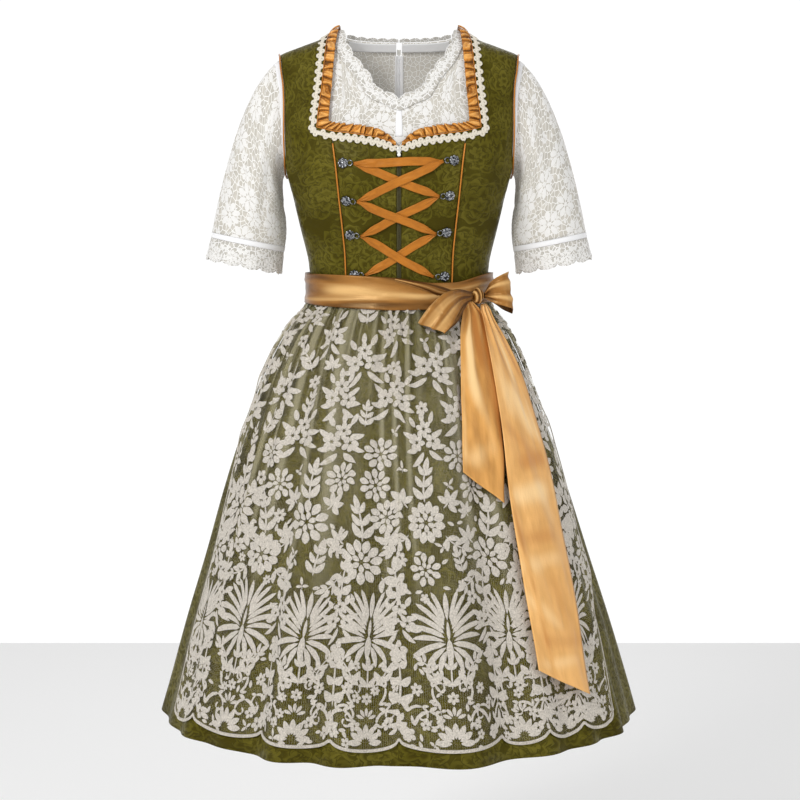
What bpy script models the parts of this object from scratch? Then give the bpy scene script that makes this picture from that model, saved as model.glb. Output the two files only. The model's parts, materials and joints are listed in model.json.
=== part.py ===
"""A dirndl set: laced jacquard bodice with a gathered skirt, lace apron with a satin sash, lace blouse.

Metres, +Z up. The origin lies midway between the neck points of the shoulders, where the wearer
carries the set. The front faces -Y. Left and right are as seen from the front.

Every cloth piece is a grid of points on one body surface, moved out from it by a named height, and
gets its wall from a Solidify modifier. The surface is a stack of rounded rings. A level is a height
that follows the cloth over the shoulder: below the chest it equals z, and at 0 it is the shoulder seam.
"""

import bisect
import functools
import math
from collections import namedtuple

import bmesh
import bpy
from mathutils import Vector

# ---- driving sizes, metres ----
CLOTH = 0.0012  # wall of the jacquard and the satin
LACE = 0.0010  # wall of lace, tulle and ribbon
SEAM = 0.0004  # from a cloth edge to the middle of its seam
CHEST = -0.100  # above this height a level follows the cloth over the shoulder
BACK_EVEN = -0.155  # below this the rows of the back are level
UPPER_LEVELS = (-0.190, BACK_EVEN, -0.122, -0.090, -0.045, -0.014, 0.0)  # rows of bodice and blouse
NECK_POINT = 0.0855  # half the width between the neck points
WAIST = -0.3868  # the seam between bodice and skirt
HEM = -1.0245
ARMPIT = -0.222
PIPING_RADIUS = 0.0012
ZIP_EDGE = 0.0035  # from the centre front to the edge of each front panel
BLOUSE_HEM = -0.300
BLOUSE_OUT = -0.0059  # how far the blouse lies inside the bodice's face
BLOUSE_MARGIN = 0.005  # how far the blouse shows inside the bodice's armhole
BLOUSE_ZIP_EDGE = 0.0042
TRIM_OUT = 0.0023  # top face of the braid above the bodice
APRON_OUT = 0.0038
SASH_OUT = 0.0075

# ---- the body surface: height, half widths, depths and how round each ring is ----
Ring = namedtuple("Ring", "z left right front back roundness")
RINGS = (
    Ring(0.0000, 0.0855, 0.0855, 0.035, 0.058, 2.40),
    Ring(-0.0100, 0.1000, 0.1000, 0.045, 0.066, 2.40),
    Ring(-0.0195, 0.1150, 0.1150, 0.055, 0.072, 2.40),
    Ring(-0.0310, 0.1450, 0.1450, 0.063, 0.078, 2.40),
    Ring(-0.0435, 0.1755, 0.1755, 0.070, 0.083, 2.40),
    Ring(-0.0550, 0.1860, 0.1860, 0.076, 0.087, 2.40),
    Ring(-0.0800, 0.1870, 0.1870, 0.088, 0.094, 2.45),
    Ring(-0.1300, 0.1840, 0.1840, 0.110, 0.103, 2.55),
    Ring(-0.1700, 0.1780, 0.1780, 0.124, 0.104, 2.60),
    Ring(-0.2000, 0.1710, 0.1710, 0.130, 0.102, 2.60),
    Ring(-0.2220, 0.1640, 0.1640, 0.131, 0.099, 2.60),
    Ring(-0.2500, 0.1570, 0.1570, 0.126, 0.095, 2.50),
    Ring(-0.3000, 0.1450, 0.1450, 0.111, 0.088, 2.40),
    Ring(-0.3460, 0.1345, 0.1345, 0.100, 0.084, 2.30),
    Ring(-0.3870, 0.1305, 0.1305, 0.098, 0.086, 2.25),
    Ring(-0.4100, 0.1345, 0.1340, 0.104, 0.092, 2.25),
    Ring(-0.4400, 0.1550, 0.1500, 0.123, 0.118, 2.20),
    Ring(-0.4884, 0.1830, 0.1740, 0.148, 0.148, 2.15),
    Ring(-0.5411, 0.2060, 0.1940, 0.172, 0.175, 2.10),
    Ring(-0.6131, 0.2340, 0.2225, 0.200, 0.205, 2.05),
    Ring(-0.6900, 0.2576, 0.2485, 0.226, 0.232, 2.00),
    Ring(-0.7829, 0.2825, 0.2770, 0.249, 0.256, 2.00),
    Ring(-0.8856, 0.3120, 0.3090, 0.274, 0.282, 2.00),
    Ring(-0.9838, 0.3376, 0.3370, 0.297, 0.304, 2.00),
    Ring(HEM, 0.3490, 0.3480, 0.305, 0.312, 2.00),
)

# ---- heights of the rows of points down the skirt, shared by the apron that lies on it ----
SKIRT_ROWS = (HEM, -0.800, -0.670, -0.560, -0.480, -0.436, -0.413)

# ---- the skirt's folds: where each stands round the body, and how far out at the hem and the hip ----
Fold = namedtuple("Fold", "angle hem hip spread")
FOLDS = (
    Fold(-90, 0.012, 0.004, 9),
    Fold(-73, 0.004, 0.004, 8),
    Fold(-59, 0.010, 0.005, 8),
    Fold(-45, 0.004, 0.005, 7),
    Fold(-27, 0.029, 0.006, 9),
    Fold(-13, 0.027, 0.005, 9),
    Fold(1, 0.003, 0.004, 6),
    Fold(14, 0.040, 0.007, 13),
    Fold(36, 0.014, 0.005, 9),
    Fold(50, 0.010, 0.005, 8),
    Fold(63, 0.014, 0.005, 8),
    Fold(77, 0.003, 0.004, 7),
    Fold(90, 0.012, 0.004, 9),
    Fold(107, 0.018, 0.004, 8),
    Fold(121, 0.014, 0.005, 8),
    Fold(136, 0.026, 0.006, 9),
    Fold(151, 0.016, 0.005, 8),
    Fold(166, 0.028, 0.006, 9),
    Fold(181, 0.018, 0.005, 8),
    Fold(196, 0.026, 0.006, 9),
    Fold(211, 0.014, 0.005, 8),
    Fold(226, 0.024, 0.006, 9),
    Fold(240, 0.016, 0.005, 8),
    Fold(254, 0.020, 0.006, 9),
)
FOLD_TOP, FOLD_HIP = -0.406, -0.460  # the folds grow from the sash's lower edge to the hip

# ---- edges of the right-hand bodice panels, as a width at each level ----
Edge = namedtuple("Edge", "level x")
PRINCESS = (
    Edge(-0.1590, 0.0960),
    Edge(-0.2076, 0.0895),
    Edge(-0.2575, 0.0845),
    Edge(-0.3011, 0.0800),
    Edge(-0.3370, 0.0770),
    Edge(-0.3870, 0.0755),
)
ARMHOLE = (
    Edge(0.0000, 0.1755),
    Edge(-0.0600, 0.1705),
    Edge(-0.0920, 0.1664),
    Edge(-0.1300, 0.1650),
    Edge(-0.1660, 0.1650),
    Edge(-0.1950, 0.1645),
    Edge(-0.2120, 0.1648),
    Edge(ARMPIT, 0.1640),
)

# ---- right half of the neckline, from the shoulder seam to the centre: the bodice's edge, the
# frill's free edge inside it and the braid's outer edge outside it ----
Stop = namedtuple("Stop", "edge_x edge_level frill_x frill_level braid_x braid_level")
FRONT_NECK = (
    Stop(0.1016, -0.0012, 0.0862, -0.0012, 0.1142, -0.0012),
    Stop(0.1050, -0.0400, 0.0905, -0.0380, 0.1178, -0.0415),
    Stop(0.1078, -0.0700, 0.0935, -0.0680, 0.1202, -0.0715),
    Stop(0.1110, -0.1000, 0.0962, -0.0980, 0.1235, -0.1020),
    Stop(0.1150, -0.1310, 0.0990, -0.1290, 0.1275, -0.1345),
    Stop(0.1165, -0.1530, 0.0998, -0.1455, 0.1300, -0.1635),
    Stop(0.0920, -0.1592, 0.0850, -0.1478, 0.0985, -0.1728),
    Stop(0.0610, -0.1632, 0.0580, -0.1502, 0.0650, -0.1762),
    Stop(0.0300, -0.1682, 0.0305, -0.1558, 0.0330, -0.1812),
    Stop(0.0130, -0.1742, 0.0150, -0.1640, 0.0155, -0.1862),
    Stop(0.0036, -0.1800, 0.0045, -0.1745, 0.0046, -0.1895),
)
FRONT_CORNER = 5  # the stop at the square corner
BACK_NECK = (
    Stop(0.1016, -0.0012, 0.0862, -0.0012, 0.1142, -0.0012),
    Stop(0.0992, -0.0500, 0.0845, -0.0450, 0.1116, -0.0520),
    Stop(0.0930, -0.0900, 0.0790, -0.0800, 0.1030, -0.0980),
    Stop(0.0755, -0.1060, 0.0660, -0.0920, 0.0820, -0.1175),
    Stop(0.0527, -0.1120, 0.0480, -0.0970, 0.0550, -0.1245),
    Stop(0.0263, -0.1155, 0.0240, -0.1000, 0.0270, -0.1280),
    Stop(0.0000, -0.1160, 0.0000, -0.1005, 0.0000, -0.1285),
)
BACK_CORNER = 2
FRILL_PITCH = 0.015  # from one gather of the frill to the next
FRILL_COLUMNS = 3  # to each gather: a ridge and two points of the hollow
BACK_FRILL_PITCH = 0.026
FRILL_LIFT = 0.0030
FRILL_WAVE = 0.0028

# ---- the blouse's neckline, right half, as heights ----
NeckEdge = namedtuple("NeckEdge", "x z")
BLOUSE_FRONT_NECK = (
    NeckEdge(0.0000, -0.1130),
    NeckEdge(0.0127, -0.1060),
    NeckEdge(0.0342, -0.0970),
    NeckEdge(0.0472, -0.0730),
    NeckEdge(0.0680, -0.0480),
    NeckEdge(0.0800, -0.0240),
    NeckEdge(0.0862, 0.0000),
)
BLOUSE_BACK_NECK = (
    NeckEdge(0.0000, -0.0150),
    NeckEdge(0.0400, -0.0140),
    NeckEdge(0.0700, -0.0115),
    NeckEdge(0.0862, -0.0080),
)

# ---- the hooks of the lacing: a flower button and its ring ----
Hook = namedtuple("Hook", "x level")
HOOKS = {
    "left_1": Hook(-0.0792, -0.2041),
    "left_2": Hook(-0.0750, -0.2571),
    "left_3": Hook(-0.0700, -0.3055),
    "left_4": Hook(-0.0640, -0.3630),
    "right_1": Hook(0.0780, -0.2004),
    "right_2": Hook(0.0722, -0.2499),
    "right_3": Hook(0.0682, -0.3018),
    "right_4": Hook(0.0655, -0.3655),
}
BUTTON_RADIUS, BUTTON_HEIGHT, BUTTON_PETALS = 0.0078, 0.0034, 8
RING_REACH, RING_RADIUS, RING_WIRE = 0.0102, 0.0038, 0.0008
RIBBON_WIDTH, RIBBON_PINCH, RIBBON_REACH = 0.012, 0.004, 0.0158
LOW, HIGH = 0.0020, 0.0040  # the two heights at which ribbons pass each other
Stretch = namedtuple("Stretch", "start end at_start at_middle at_end")
LACING = (
    Stretch("left_1", "right_1", HIGH, HIGH, LOW),
    Stretch("right_1", "left_2", HIGH, HIGH, LOW),
    Stretch("left_1", "right_2", LOW, LOW, HIGH),
    Stretch("left_2", "right_3", HIGH, HIGH, HIGH),
    Stretch("right_2", "left_3", LOW, LOW, HIGH),
    Stretch("left_3", "right_4", LOW, HIGH, LOW),
    Stretch("right_3", "left_4", LOW, LOW, LOW),
)

# ---- the apron: how far round each side it reaches, and the cusps of its scalloped hem ----
Reach = namedtuple("Reach", "z left right")
APRON_SIDES = (
    Reach(-0.392, -104, 106),
    Reach(-0.500, -87, 94),
    Reach(-0.600, -77, 84),
    Reach(-0.690, -72.5, 78),
    Reach(-0.780, -71, 74),
    Reach(-0.850, -70, 65.5),
    Reach(-1.010, -67, 60),
)
APRON_CUSPS = (-67.5, -57, -33, -15, 0, 24, 36, 48, 60)
APRON_STEADY = 54  # within this angle the apron's columns stand on the skirt's
APRON_SIDE_COLUMNS = 8  # and this many spread out beyond it on each side
APRON_CUSP_Z, APRON_SCALLOP = -0.9905, 0.0165

# ---- the sash, as heights of its two edges round the front, and the fold that crosses it ----
Band = namedtuple("Band", "x top bottom")
SASH = (
    Band(-0.140, -0.3605, -0.4055),
    Band(-0.108, -0.3615, -0.4105),
    Band(-0.055, -0.3635, -0.4144),
    Band(-0.006, -0.3665, -0.4168),
    Band(0.050, -0.3740, -0.4150),
    Band(0.075, -0.3735, -0.4120),
    Band(0.130, -0.3600, -0.4055),
    Band(0.140, -0.3600, -0.4055),
)
SASH_BACK = Band(0.0, -0.3605, -0.4070)
CROSSING = (
    Band(-0.0057, -0.3675, -0.3705),
    Band(0.0187, -0.3720, -0.3785),
    Band(0.0400, -0.3750, -0.3870),
    Band(0.0580, -0.3790, -0.3965),
    Band(0.0765, -0.3870, -0.3980),
    Band(0.0910, -0.3915, -0.3985),
)
KNOT_AT = (0.1140, -0.0835, -0.3935)
KNOT_RADII = (0.0088, 0.0088, 0.0118)
KNOT_TURN = math.radians(41)

# ---- the bow's loops: the two edges of the ribbon on its way out and back ----
Turn = namedtuple("Turn", "ax az bx bz y")
LOOP_LEFT = (
    Turn(0.1062, -0.3880, 0.1062, -0.3978, -0.0942),
    Turn(0.0850, -0.3830, 0.0905, -0.4075, -0.1130),
    Turn(0.0680, -0.3865, 0.0830, -0.4190, -0.1290),
    Turn(0.0454, -0.4043, 0.0751, -0.4330, -0.1410),
    Turn(0.0270, -0.4298, 0.0653, -0.4440, -0.1430),
    Turn(0.0300, -0.4310, 0.0700, -0.4410, -0.1310),
    Turn(0.0480, -0.4080, 0.0840, -0.4290, -0.1250),
    Turn(0.0700, -0.3925, 0.0930, -0.4130, -0.1140),
    Turn(0.1035, -0.3900, 0.1035, -0.3970, -0.0912),
)
LOOP_RIGHT = (
    Turn(0.1245, -0.3875, 0.1245, -0.3970, -0.0805),
    Turn(0.1321, -0.3735, 0.1380, -0.4041, -0.0870),
    Turn(0.1466, -0.3635, 0.1540, -0.4085, -0.0900),
    Turn(0.1581, -0.3585, 0.1660, -0.4130, -0.0800),
    Turn(0.1570, -0.3600, 0.1655, -0.4200, -0.0660),
    Turn(0.1450, -0.3690, 0.1530, -0.4150, -0.0590),
    Turn(0.1350, -0.3790, 0.1385, -0.4050, -0.0620),
    Turn(0.1235, -0.3895, 0.1235, -0.3965, -0.0755),
)

# ---- the bow's tails: the ribbon's two edges at each height ----
Strip = namedtuple("Strip", "z left right")
TAIL_SHORT = (
    Strip(-0.4015, 0.0950, 0.1060),
    Strip(-0.4130, 0.0930, 0.1175),
    Strip(-0.4220, 0.0910, 0.1235),
    Strip(-0.4460, 0.0880, 0.1285),
    Strip(-0.4900, 0.0877, 0.1355),
    Strip(-0.5340, 0.0879, 0.1415),
    Strip(-0.5900, 0.0887, 0.1468),
    Strip(-0.6340, 0.0890, 0.1480),
    Strip(-0.6790, 0.0890, 0.1480),
)
TAIL_LONG = (
    Strip(-0.4050, 0.1195, 0.1265),
    Strip(-0.4130, 0.1188, 0.1325),
    Strip(-0.4220, 0.1215, 0.1360),
    Strip(-0.4576, 0.1275, 0.1560),
    Strip(-0.4917, 0.1335, 0.1725),
    Strip(-0.5220, 0.1385, 0.1840),
    Strip(-0.5765, 0.1455, 0.2010),
    Strip(-0.6462, 0.1530, 0.2180),
    Strip(-0.7104, 0.1610, 0.2311),
    Strip(-0.7660, 0.1697, 0.2419),
    Strip(-0.8496, 0.1845, 0.2548),
    Strip(-0.9036, 0.1927, 0.2625),
    Strip(-0.9475, 0.1990, 0.2689),
)
TAIL_SHORT_ENDS = (-0.634, -0.679)  # the slanting lower edge, left and right
TAIL_LONG_ENDS = (-0.9036, -0.9475)
TAIL_OUT = 0.0090  # above the folds that the tails lie on
TAIL_OUT_TOP = 0.0150  # where they leave the knot
TAIL_OVER = 0.0030  # the long one lies over the short one
TAIL_REACH = 0.80  # past this share of the half width a tail hangs straight on, clear of the side

# ---- the right sleeve: the cuff's centre, the way it points and its size ----
CUFF_AT = Vector((0.2236, 0.0, -0.3120))
CUFF_AXIS = Vector((0.196, 0.0, -0.981)).normalized()
CUFF_ACROSS = Vector((0.981, 0.0, 0.196)).normalized()
CUFF_RADIUS_X, CUFF_RADIUS_Y = 0.0549, 0.0600
CAP_TOP, CAP_BOTTOM = Vector((0.045, 0.0, -0.030)), Vector((0.027, 0.0, 0.002))
CAP_FALL_TOP, CAP_FALL_BOTTOM = 0.120, 0.050  # how long the cloth keeps the cuff's direction
BAND_WIDTH, BAND_RAISE = 0.008, 0.0006
EDGING_WIDTH, EDGING_SCALLOPS, EDGING_SCALLOP, EDGING_FLARE = 0.0335, 12, 0.0045, 0.0022

# ---- the blouse's neck lace ----
NECK_LACE_WIDTH, NECK_LACE_PROUD, NECK_SCALLOP, NECK_PITCH = 0.015, 0.0025, 0.0035, 0.024
BACK_LACE_WIDTH = 0.0065
NECK_BAND_WIDTH = 0.0125

# ---- the zips ----
SLIDER_WIDTH, SLIDER_DEPTH, SLIDER_LENGTH = 0.0055, 0.0022, 0.0080
BRIDGE_WIRE, BRIDGE_TOP = 0.0005, 0.0048
PULL_AXIS_OUT, PULL_AXIS_UP = 0.0032, 0.0010
PULL_THICKNESS = 0.0010


# ---- reading the tables ----
def reader(rows):
    """A function that reads a table at any value of its first column, smoothly and without overshoot."""
    rows = sorted(rows)
    keys = [row[0] for row in rows]
    columns = list(zip(*rows))[1:]

    def slopes(values):
        rise = [(b - a) / (q - p) for a, b, p, q in zip(values, values[1:], keys, keys[1:])]
        inner = [2 * a * b / (a + b) if a * b > 0 else 0.0 for a, b in zip(rise, rise[1:])]
        return [rise[0], *inner, rise[-1]]

    tangents = [slopes(values) for values in columns]

    def read(key):
        key = min(max(key, keys[0]), keys[-1])
        i = min(max(bisect.bisect_right(keys, key) - 1, 0), len(keys) - 2)
        width = keys[i + 1] - keys[i]
        t = (key - keys[i]) / width
        rise, ease = t * t * (3 - 2 * t), t * (1 - t)
        return [
            values[i] * (1 - rise)
            + values[i + 1] * rise
            + width * ease * (tangent[i] * (1 - t) - tangent[i + 1] * t)
            for values, tangent in zip(columns, tangents)
        ]

    return read


def mix(a, b, share):
    return a + (b - a) * share


def eased(value, start, end):
    """0 before start, 1 after end and a smooth rise between."""
    t = min(max((value - start) / (end - start), 0.0), 1.0)
    return t * t * (3 - 2 * t)


def shares(steps):
    return [i / steps for i in range(steps + 1)]


read_ring = reader(RINGS)


@functools.lru_cache(maxsize=None)
def ring_at(z):
    return Ring(z, *read_ring(z))


# ---- the body surface ----
FRONT, BACK = -1, 1


def body_point(x, z, side):
    """The point of the surface at this width and height, on the front or the back."""
    ring = ring_at(z)
    reach = min(abs(x) / (ring.right if x > 0 else ring.left), 1.0)
    depth = ring.front if side == FRONT else ring.back
    depth *= (1 - reach**ring.roundness) ** (1 / ring.roundness)
    return Vector((x, side * max(depth, SEAM), z))


def ring_value(x, y, z):
    ring = ring_at(min(z, 0.0))
    across = abs(x) / (ring.right if x > 0 else ring.left)
    deep = abs(y) / (ring.front if y < 0 else ring.back)
    return across**ring.roundness + deep**ring.roundness


def outward(point):
    """The direction that leads straight out of the body surface."""
    x, y, z = point
    step = 0.0001
    return Vector(
        (
            ring_value(x + step, y, z) - ring_value(x - step, y, z),
            ring_value(x, y + step, z) - ring_value(x, y - step, z),
            ring_value(x, y, z + step) - ring_value(x, y, z - step),
        )
    ).normalized()


@functools.lru_cache(maxsize=None)
def ridge(x):
    """Height of the shoulder line at this width, or 0 inside the neck."""
    low, high = -0.060, 0.0
    if abs(x) <= NECK_POINT:
        return 0.0
    for _ in range(40):
        middle = (low + high) / 2
        low, high = (middle, high) if ring_at(middle).right > abs(x) else (low, middle)
    return high


@functools.lru_cache(maxsize=None)
def shoulder_run(x, side):
    """Heights from the chest up to the shoulder line, each with its distance along the cloth."""
    steps, top = 32, ridge(x)
    run, length, before = [], 0.0, None
    for i in range(steps + 1):
        z = top - (top - CHEST) * (1 - i / steps) ** 2
        point = body_point(x, z, side)
        length += (point - before).length if before else 0.0
        run.append((length, z))
        before = point
    return run


def height_at(x, level, side):
    if level <= CHEST:
        return level
    run = shoulder_run(round(x, 4), side)
    target = run[-1][0] * (1 - level / CHEST)
    for (a, low), (b, high) in zip(run, run[1:]):
        if target <= b:
            return mix(low, high, (target - a) / (b - a))
    return run[-1][1]


def level_at(x, z, side):
    if z <= CHEST:
        return z
    run = shoulder_run(round(x, 4), side)
    for (a, low), (b, high) in zip(run, run[1:]):
        if z <= high:
            return CHEST * (1 - mix(a, b, (z - low) / (high - low)) / run[-1][0])
    return 0.0


def on_body(x, level, side=FRONT, out=0.0):
    point = body_point(x, height_at(x, level, side), side)
    return point + outward(point) * out


def across(start, end, share, level):
    """A width between two edges: by the angle round the body low down, evenly near the shoulder."""
    ring = ring_at(min(level, CHEST))
    half, power = ring.right, ring.roundness / 2
    angles = [math.asin(min(abs(x) / half, 1.0) ** power) * math.copysign(1, x) for x in (start, end)]
    angle = mix(*angles, share)
    turned = half * math.copysign(abs(math.sin(angle)) ** (1 / power), angle)
    return mix(turned, mix(start, end, share), eased(level, -0.150, CHEST))


def girth_point(angle, z, out=0.0, folded=True):
    """A point round the waist or the skirt: 0 degrees is the centre front and 90 the right side."""
    turn = math.radians(angle)
    ring = ring_at(z)
    power = 2 / ring.roundness
    sine, cosine = math.sin(turn), math.cos(turn)
    half = ring.right if sine > 0 else ring.left
    depth = ring.front if cosine > 0 else ring.back
    point = Vector(
        (
            half * math.copysign(abs(sine) ** power, sine),
            -depth * math.copysign(abs(cosine) ** power, cosine),
            z,
        )
    )
    lift = out + (fold_height(angle, z) if folded else 0.0)
    return point + outward(point) * lift


def fold_height(angle, z):
    grown = eased(z, FOLD_TOP, FOLD_HIP)
    down = min(max((FOLD_HIP - z) / (FOLD_HIP - HEM), 0.0), 1.0)
    height = 0.0
    for fold in FOLDS:
        away = abs((angle - fold.angle + 180) % 360 - 180)
        if away < fold.spread:
            share = math.cos(math.pi / 2 * away / fold.spread) ** 2
            height += share * mix(fold.hip * grown, fold.hem, down**1.2)
    return height


# ---- objects ----
def clear_scene():
    for item in list(bpy.data.objects):
        bpy.data.objects.remove(item, do_unlink=True)


def new_collection(name):
    found = bpy.data.collections.new(name)
    bpy.context.scene.collection.children.link(found)
    return found


def finish(name, colour, roughness, metallic=0.0):
    material = bpy.data.materials.new(name)
    material.use_nodes = True
    shader = material.node_tree.nodes["Principled BSDF"]
    shader.inputs["Base Color"].default_value = (*colour, 1.0)
    shader.inputs["Roughness"].default_value = roughness
    shader.inputs["Metallic"].default_value = metallic
    material.diffuse_color = (*colour, 1.0)
    return material


def add_object(name, data, material, smooth=True):
    item = bpy.data.objects.new(name, data)
    PARTS.objects.link(item)
    data.materials.append(material)
    if smooth and isinstance(data, bpy.types.Mesh):
        data.shade_smooth()
        data.set_sharp_from_angle(angle=math.radians(40))
    return item


def add_wall(item, thickness, offset=-1.0):
    wall = item.modifiers.new("wall", "SOLIDIFY")
    wall.thickness = thickness
    wall.offset = offset
    return item


def sheet(name, rows, material, wall=CLOTH, tube=False, offset=-1.0, flip=False):
    """A piece of cloth from rows of points, bottom to top and left to right as seen from outside.

    A row holds None where the cloth is cut away."""
    count = len(rows[0])
    points = [point for row in rows for point in row]
    kept = [i for i, point in enumerate(points) if point is not None]
    places = {old: new for new, old in enumerate(kept)}
    faces = []
    for j in range(len(rows) - 1):
        for i in range(count if tube else count - 1):
            k = (i + 1) % count
            face = (j * count + i, j * count + k, (j + 1) * count + k, (j + 1) * count + i)
            if all(corner in places for corner in face):
                face = [places[corner] for corner in face]
                faces.append(face[::-1] if flip else face)
    mesh = bpy.data.meshes.new(name)
    mesh.from_pydata([points[i] for i in kept], [], faces)
    return add_wall(add_object(name, mesh, material), wall, offset)


def mirrored(rows):
    return [[Vector((-p.x, p.y, p.z)) for p in reversed(row)] for row in rows]


def sheet_pair(name, rows, material, **options):
    """The piece on the right and its mirror image on the left."""
    sheet(name + "_right", rows, material, **options)
    sheet(name + "_left", mirrored(rows), material, **options)


def cord(name, points, radius, material, closed=False, sides=1):
    curve = bpy.data.curves.new(name, "CURVE")
    curve.dimensions = "3D"
    spline = curve.splines.new("POLY")
    spline.points.add(len(points) - 1)
    for place, point in zip(spline.points, points):
        place.co = (*point, 1.0)
    spline.use_cyclic_u = closed
    curve.bevel_depth = radius
    curve.bevel_resolution = sides
    curve.use_fill_caps = not closed
    return add_object(name, curve, material)


# ---- bodice ----
STRAP_SHARES = [0.33, 0.66, 1.0]  # columns of the back's straps, from the neckline outward
read_princess = reader(PRINCESS)
read_armhole = reader(ARMHOLE)
read_neck_side = reader([(stop.edge_level, stop.edge_x) for stop in FRONT_NECK[: FRONT_CORNER + 1]])
read_neck_front = reader([(stop.edge_x, stop.edge_level) for stop in FRONT_NECK[FRONT_CORNER:]])
read_back_side = reader([(stop.edge_level, stop.edge_x) for stop in BACK_NECK[: BACK_CORNER + 1]])
read_back_base = reader([(stop.edge_x, stop.edge_level) for stop in BACK_NECK[BACK_CORNER:]])


def princess_x(level):
    return read_princess(level)[0]


def outer_x(level, margin=0.0, armpit=ARMPIT):
    """The side seam below the armpit and the armhole's edge above it."""
    side = ring_at(min(level, CHEST)).right
    if level <= armpit:
        return side
    hole = read_armhole(level)[0] + margin
    return min(hole, side) if level < CHEST else hole


def bodice_front_centre():
    rows = []
    for share_up in shares(7):
        row = []
        for share in shares(5):
            top = read_neck_front(mix(ZIP_EDGE, PRINCESS[0].x - SEAM, share))[0]
            level = mix(WAIST + SEAM, top, share_up)
            row.append(on_body(mix(ZIP_EDGE, princess_x(level) - SEAM, share), level))
        rows.append(row)
    sheet_pair("bodice_front_centre", rows, JACQUARD)


def bodice_front_side():
    step = PRINCESS[0].level
    corner = FRONT_NECK[FRONT_CORNER].edge_level
    levels = [WAIST + SEAM, -0.345, -0.300, -0.258, ARMPIT, UPPER_LEVELS[0], step, corner]
    levels += UPPER_LEVELS[2:]
    rows = []
    for level in levels:
        inner = princess_x(level) + SEAM if level <= step else read_neck_side(level)[0]
        rows.append([on_body(across(inner, outer_x(level), share, level), level) for share in shares(5)])
    sheet_pair("bodice_front_side", rows, JACQUARD)


def columns_of(half_shares):
    """Shares of the half width, from the left edge through the centre to the right edge."""
    return [-share for share in reversed(half_shares)] + [share for share in half_shares if share > 0]


def back_shares():
    """Columns of the back's right half, as shares of its width, and the share at the strap's inner edge."""
    corner = BACK_NECK[BACK_CORNER]
    half = [stop.edge_x / outer_x(corner.edge_level) for stop in reversed(BACK_NECK[BACK_CORNER:])]
    strap = half[-1]
    return half + [mix(strap, 1.0, share) for share in STRAP_SHARES], strap


def bodice_back():
    """One panel: whole rows up to the corners of the neckline, then a strap on each side."""
    corner = BACK_NECK[BACK_CORNER]
    half, strap = back_shares()
    rows = []
    for row_level in (WAIST + SEAM, BLOUSE_HEM, ARMPIT, *UPPER_LEVELS):
        row = []
        for share in columns_of(half):
            size, level = abs(share), row_level
            if row_level > corner.edge_level:
                inner = read_back_side(level)[0]
                x = mix(inner, outer_x(level), (size - strap) / (1 - strap))
                row.append(on_body(math.copysign(x, share), level, BACK) if size >= strap else None)
                continue
            if size < strap and row_level > BACK_EVEN:
                top = read_back_base(size / strap * corner.edge_x)[0]
                risen = (row_level - BACK_EVEN) / (corner.edge_level - BACK_EVEN)
                level = mix(BACK_EVEN, top, risen)
            x = across(0.0, outer_x(level), size, level)
            row.append(on_body(math.copysign(x, share), level, BACK))
        rows.append(row)
    sheet("bodice_back", rows, JACQUARD, flip=True)


def skirt():
    front = [mix(-90, 90, share) for share in shares(60)]
    back = [mix(90, 270, share) for share in shares(38)]
    for name, angles, side in (("skirt_front", front, FRONT), ("skirt_back", back, BACK)):
        rows = []
        for z in (*SKIRT_ROWS, WAIST - SEAM):
            row = [girth_point(angle, z) for angle in angles]
            for point in (row[0], row[-1]):
                point.y = side * SEAM
            rows.append(row)
        sheet(name, rows, JACQUARD)


# ---- trims of the bodice ----
def piping():
    ride = PIPING_RADIUS + 2 * SEAM
    levels = [mix(-0.1765, WAIST + SEAM, share) for share in shares(9)]
    for name, sign in (("right", 1), ("left", -1)):
        seam = [on_body(sign * princess_x(level), level, FRONT, ride) for level in levels]
        cord("princess_piping_" + name, seam, PIPING_RADIUS, SATIN)
        hole = []
        for side, steps in ((FRONT, range(11)), (BACK, range(10, 0, -1))):
            for i in steps:
                level = ARMPIT * (1 - math.cos(math.pi * i / 10)) / 2
                x = sign * outer_x(level)
                point = on_body(x, level, side, ride)
                if i in (0, 10):
                    point.y = 0.0
                if side == FRONT or i < 10:
                    hole.append(point)
        cord("armhole_piping_" + name, hole, PIPING_RADIUS, SATIN, closed=True)


def walk(stops, pitch):
    """Stops at even distances along a neckline, keeping each of its corners, with the way walked."""
    found, way = [], 0.0
    for a, b in zip(stops, stops[1:]):
        length = math.hypot(a.edge_x - b.edge_x, a.edge_level - b.edge_level)
        steps = max(round(length / pitch), 1)
        for i in range(steps):
            found.append((way + length * i / steps, Stop(*(mix(p, q, i / steps) for p, q in zip(a, b)))))
        way += length
    return found + [(way, stops[-1])]


def whole_neck(stops):
    """The left half followed by the right half, for a piece that runs across the centre."""
    left = [
        stop._replace(edge_x=-stop.edge_x, frill_x=-stop.frill_x, braid_x=-stop.braid_x) for stop in stops
    ]
    return left[:-1] + list(reversed(stops))


def frill_rows(stops, side, pitch):
    base, free = [], []
    for way, stop in walk(stops, pitch / FRILL_COLUMNS):
        wave = math.cos(2 * math.pi * way / pitch)
        start = [mix(stop.edge_x, stop.frill_x, 0.06), mix(stop.edge_level, stop.frill_level, 0.06)]
        base.append(on_body(*start, side, FRILL_LIFT * 0.55 + 0.3 * FRILL_WAVE * wave))
        free.append(on_body(stop.frill_x, stop.frill_level, side, FRILL_LIFT + FRILL_WAVE * wave))
    return [base, free]


def braid_rows(stops, side, pitch=0.011):
    inner, outer = [], []
    for _, stop in walk(stops, pitch):
        inner.append(on_body(stop.edge_x, stop.edge_level, side, TRIM_OUT))
        outer.append(on_body(stop.braid_x, stop.braid_level, side, TRIM_OUT))
    return [outer, inner]


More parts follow.
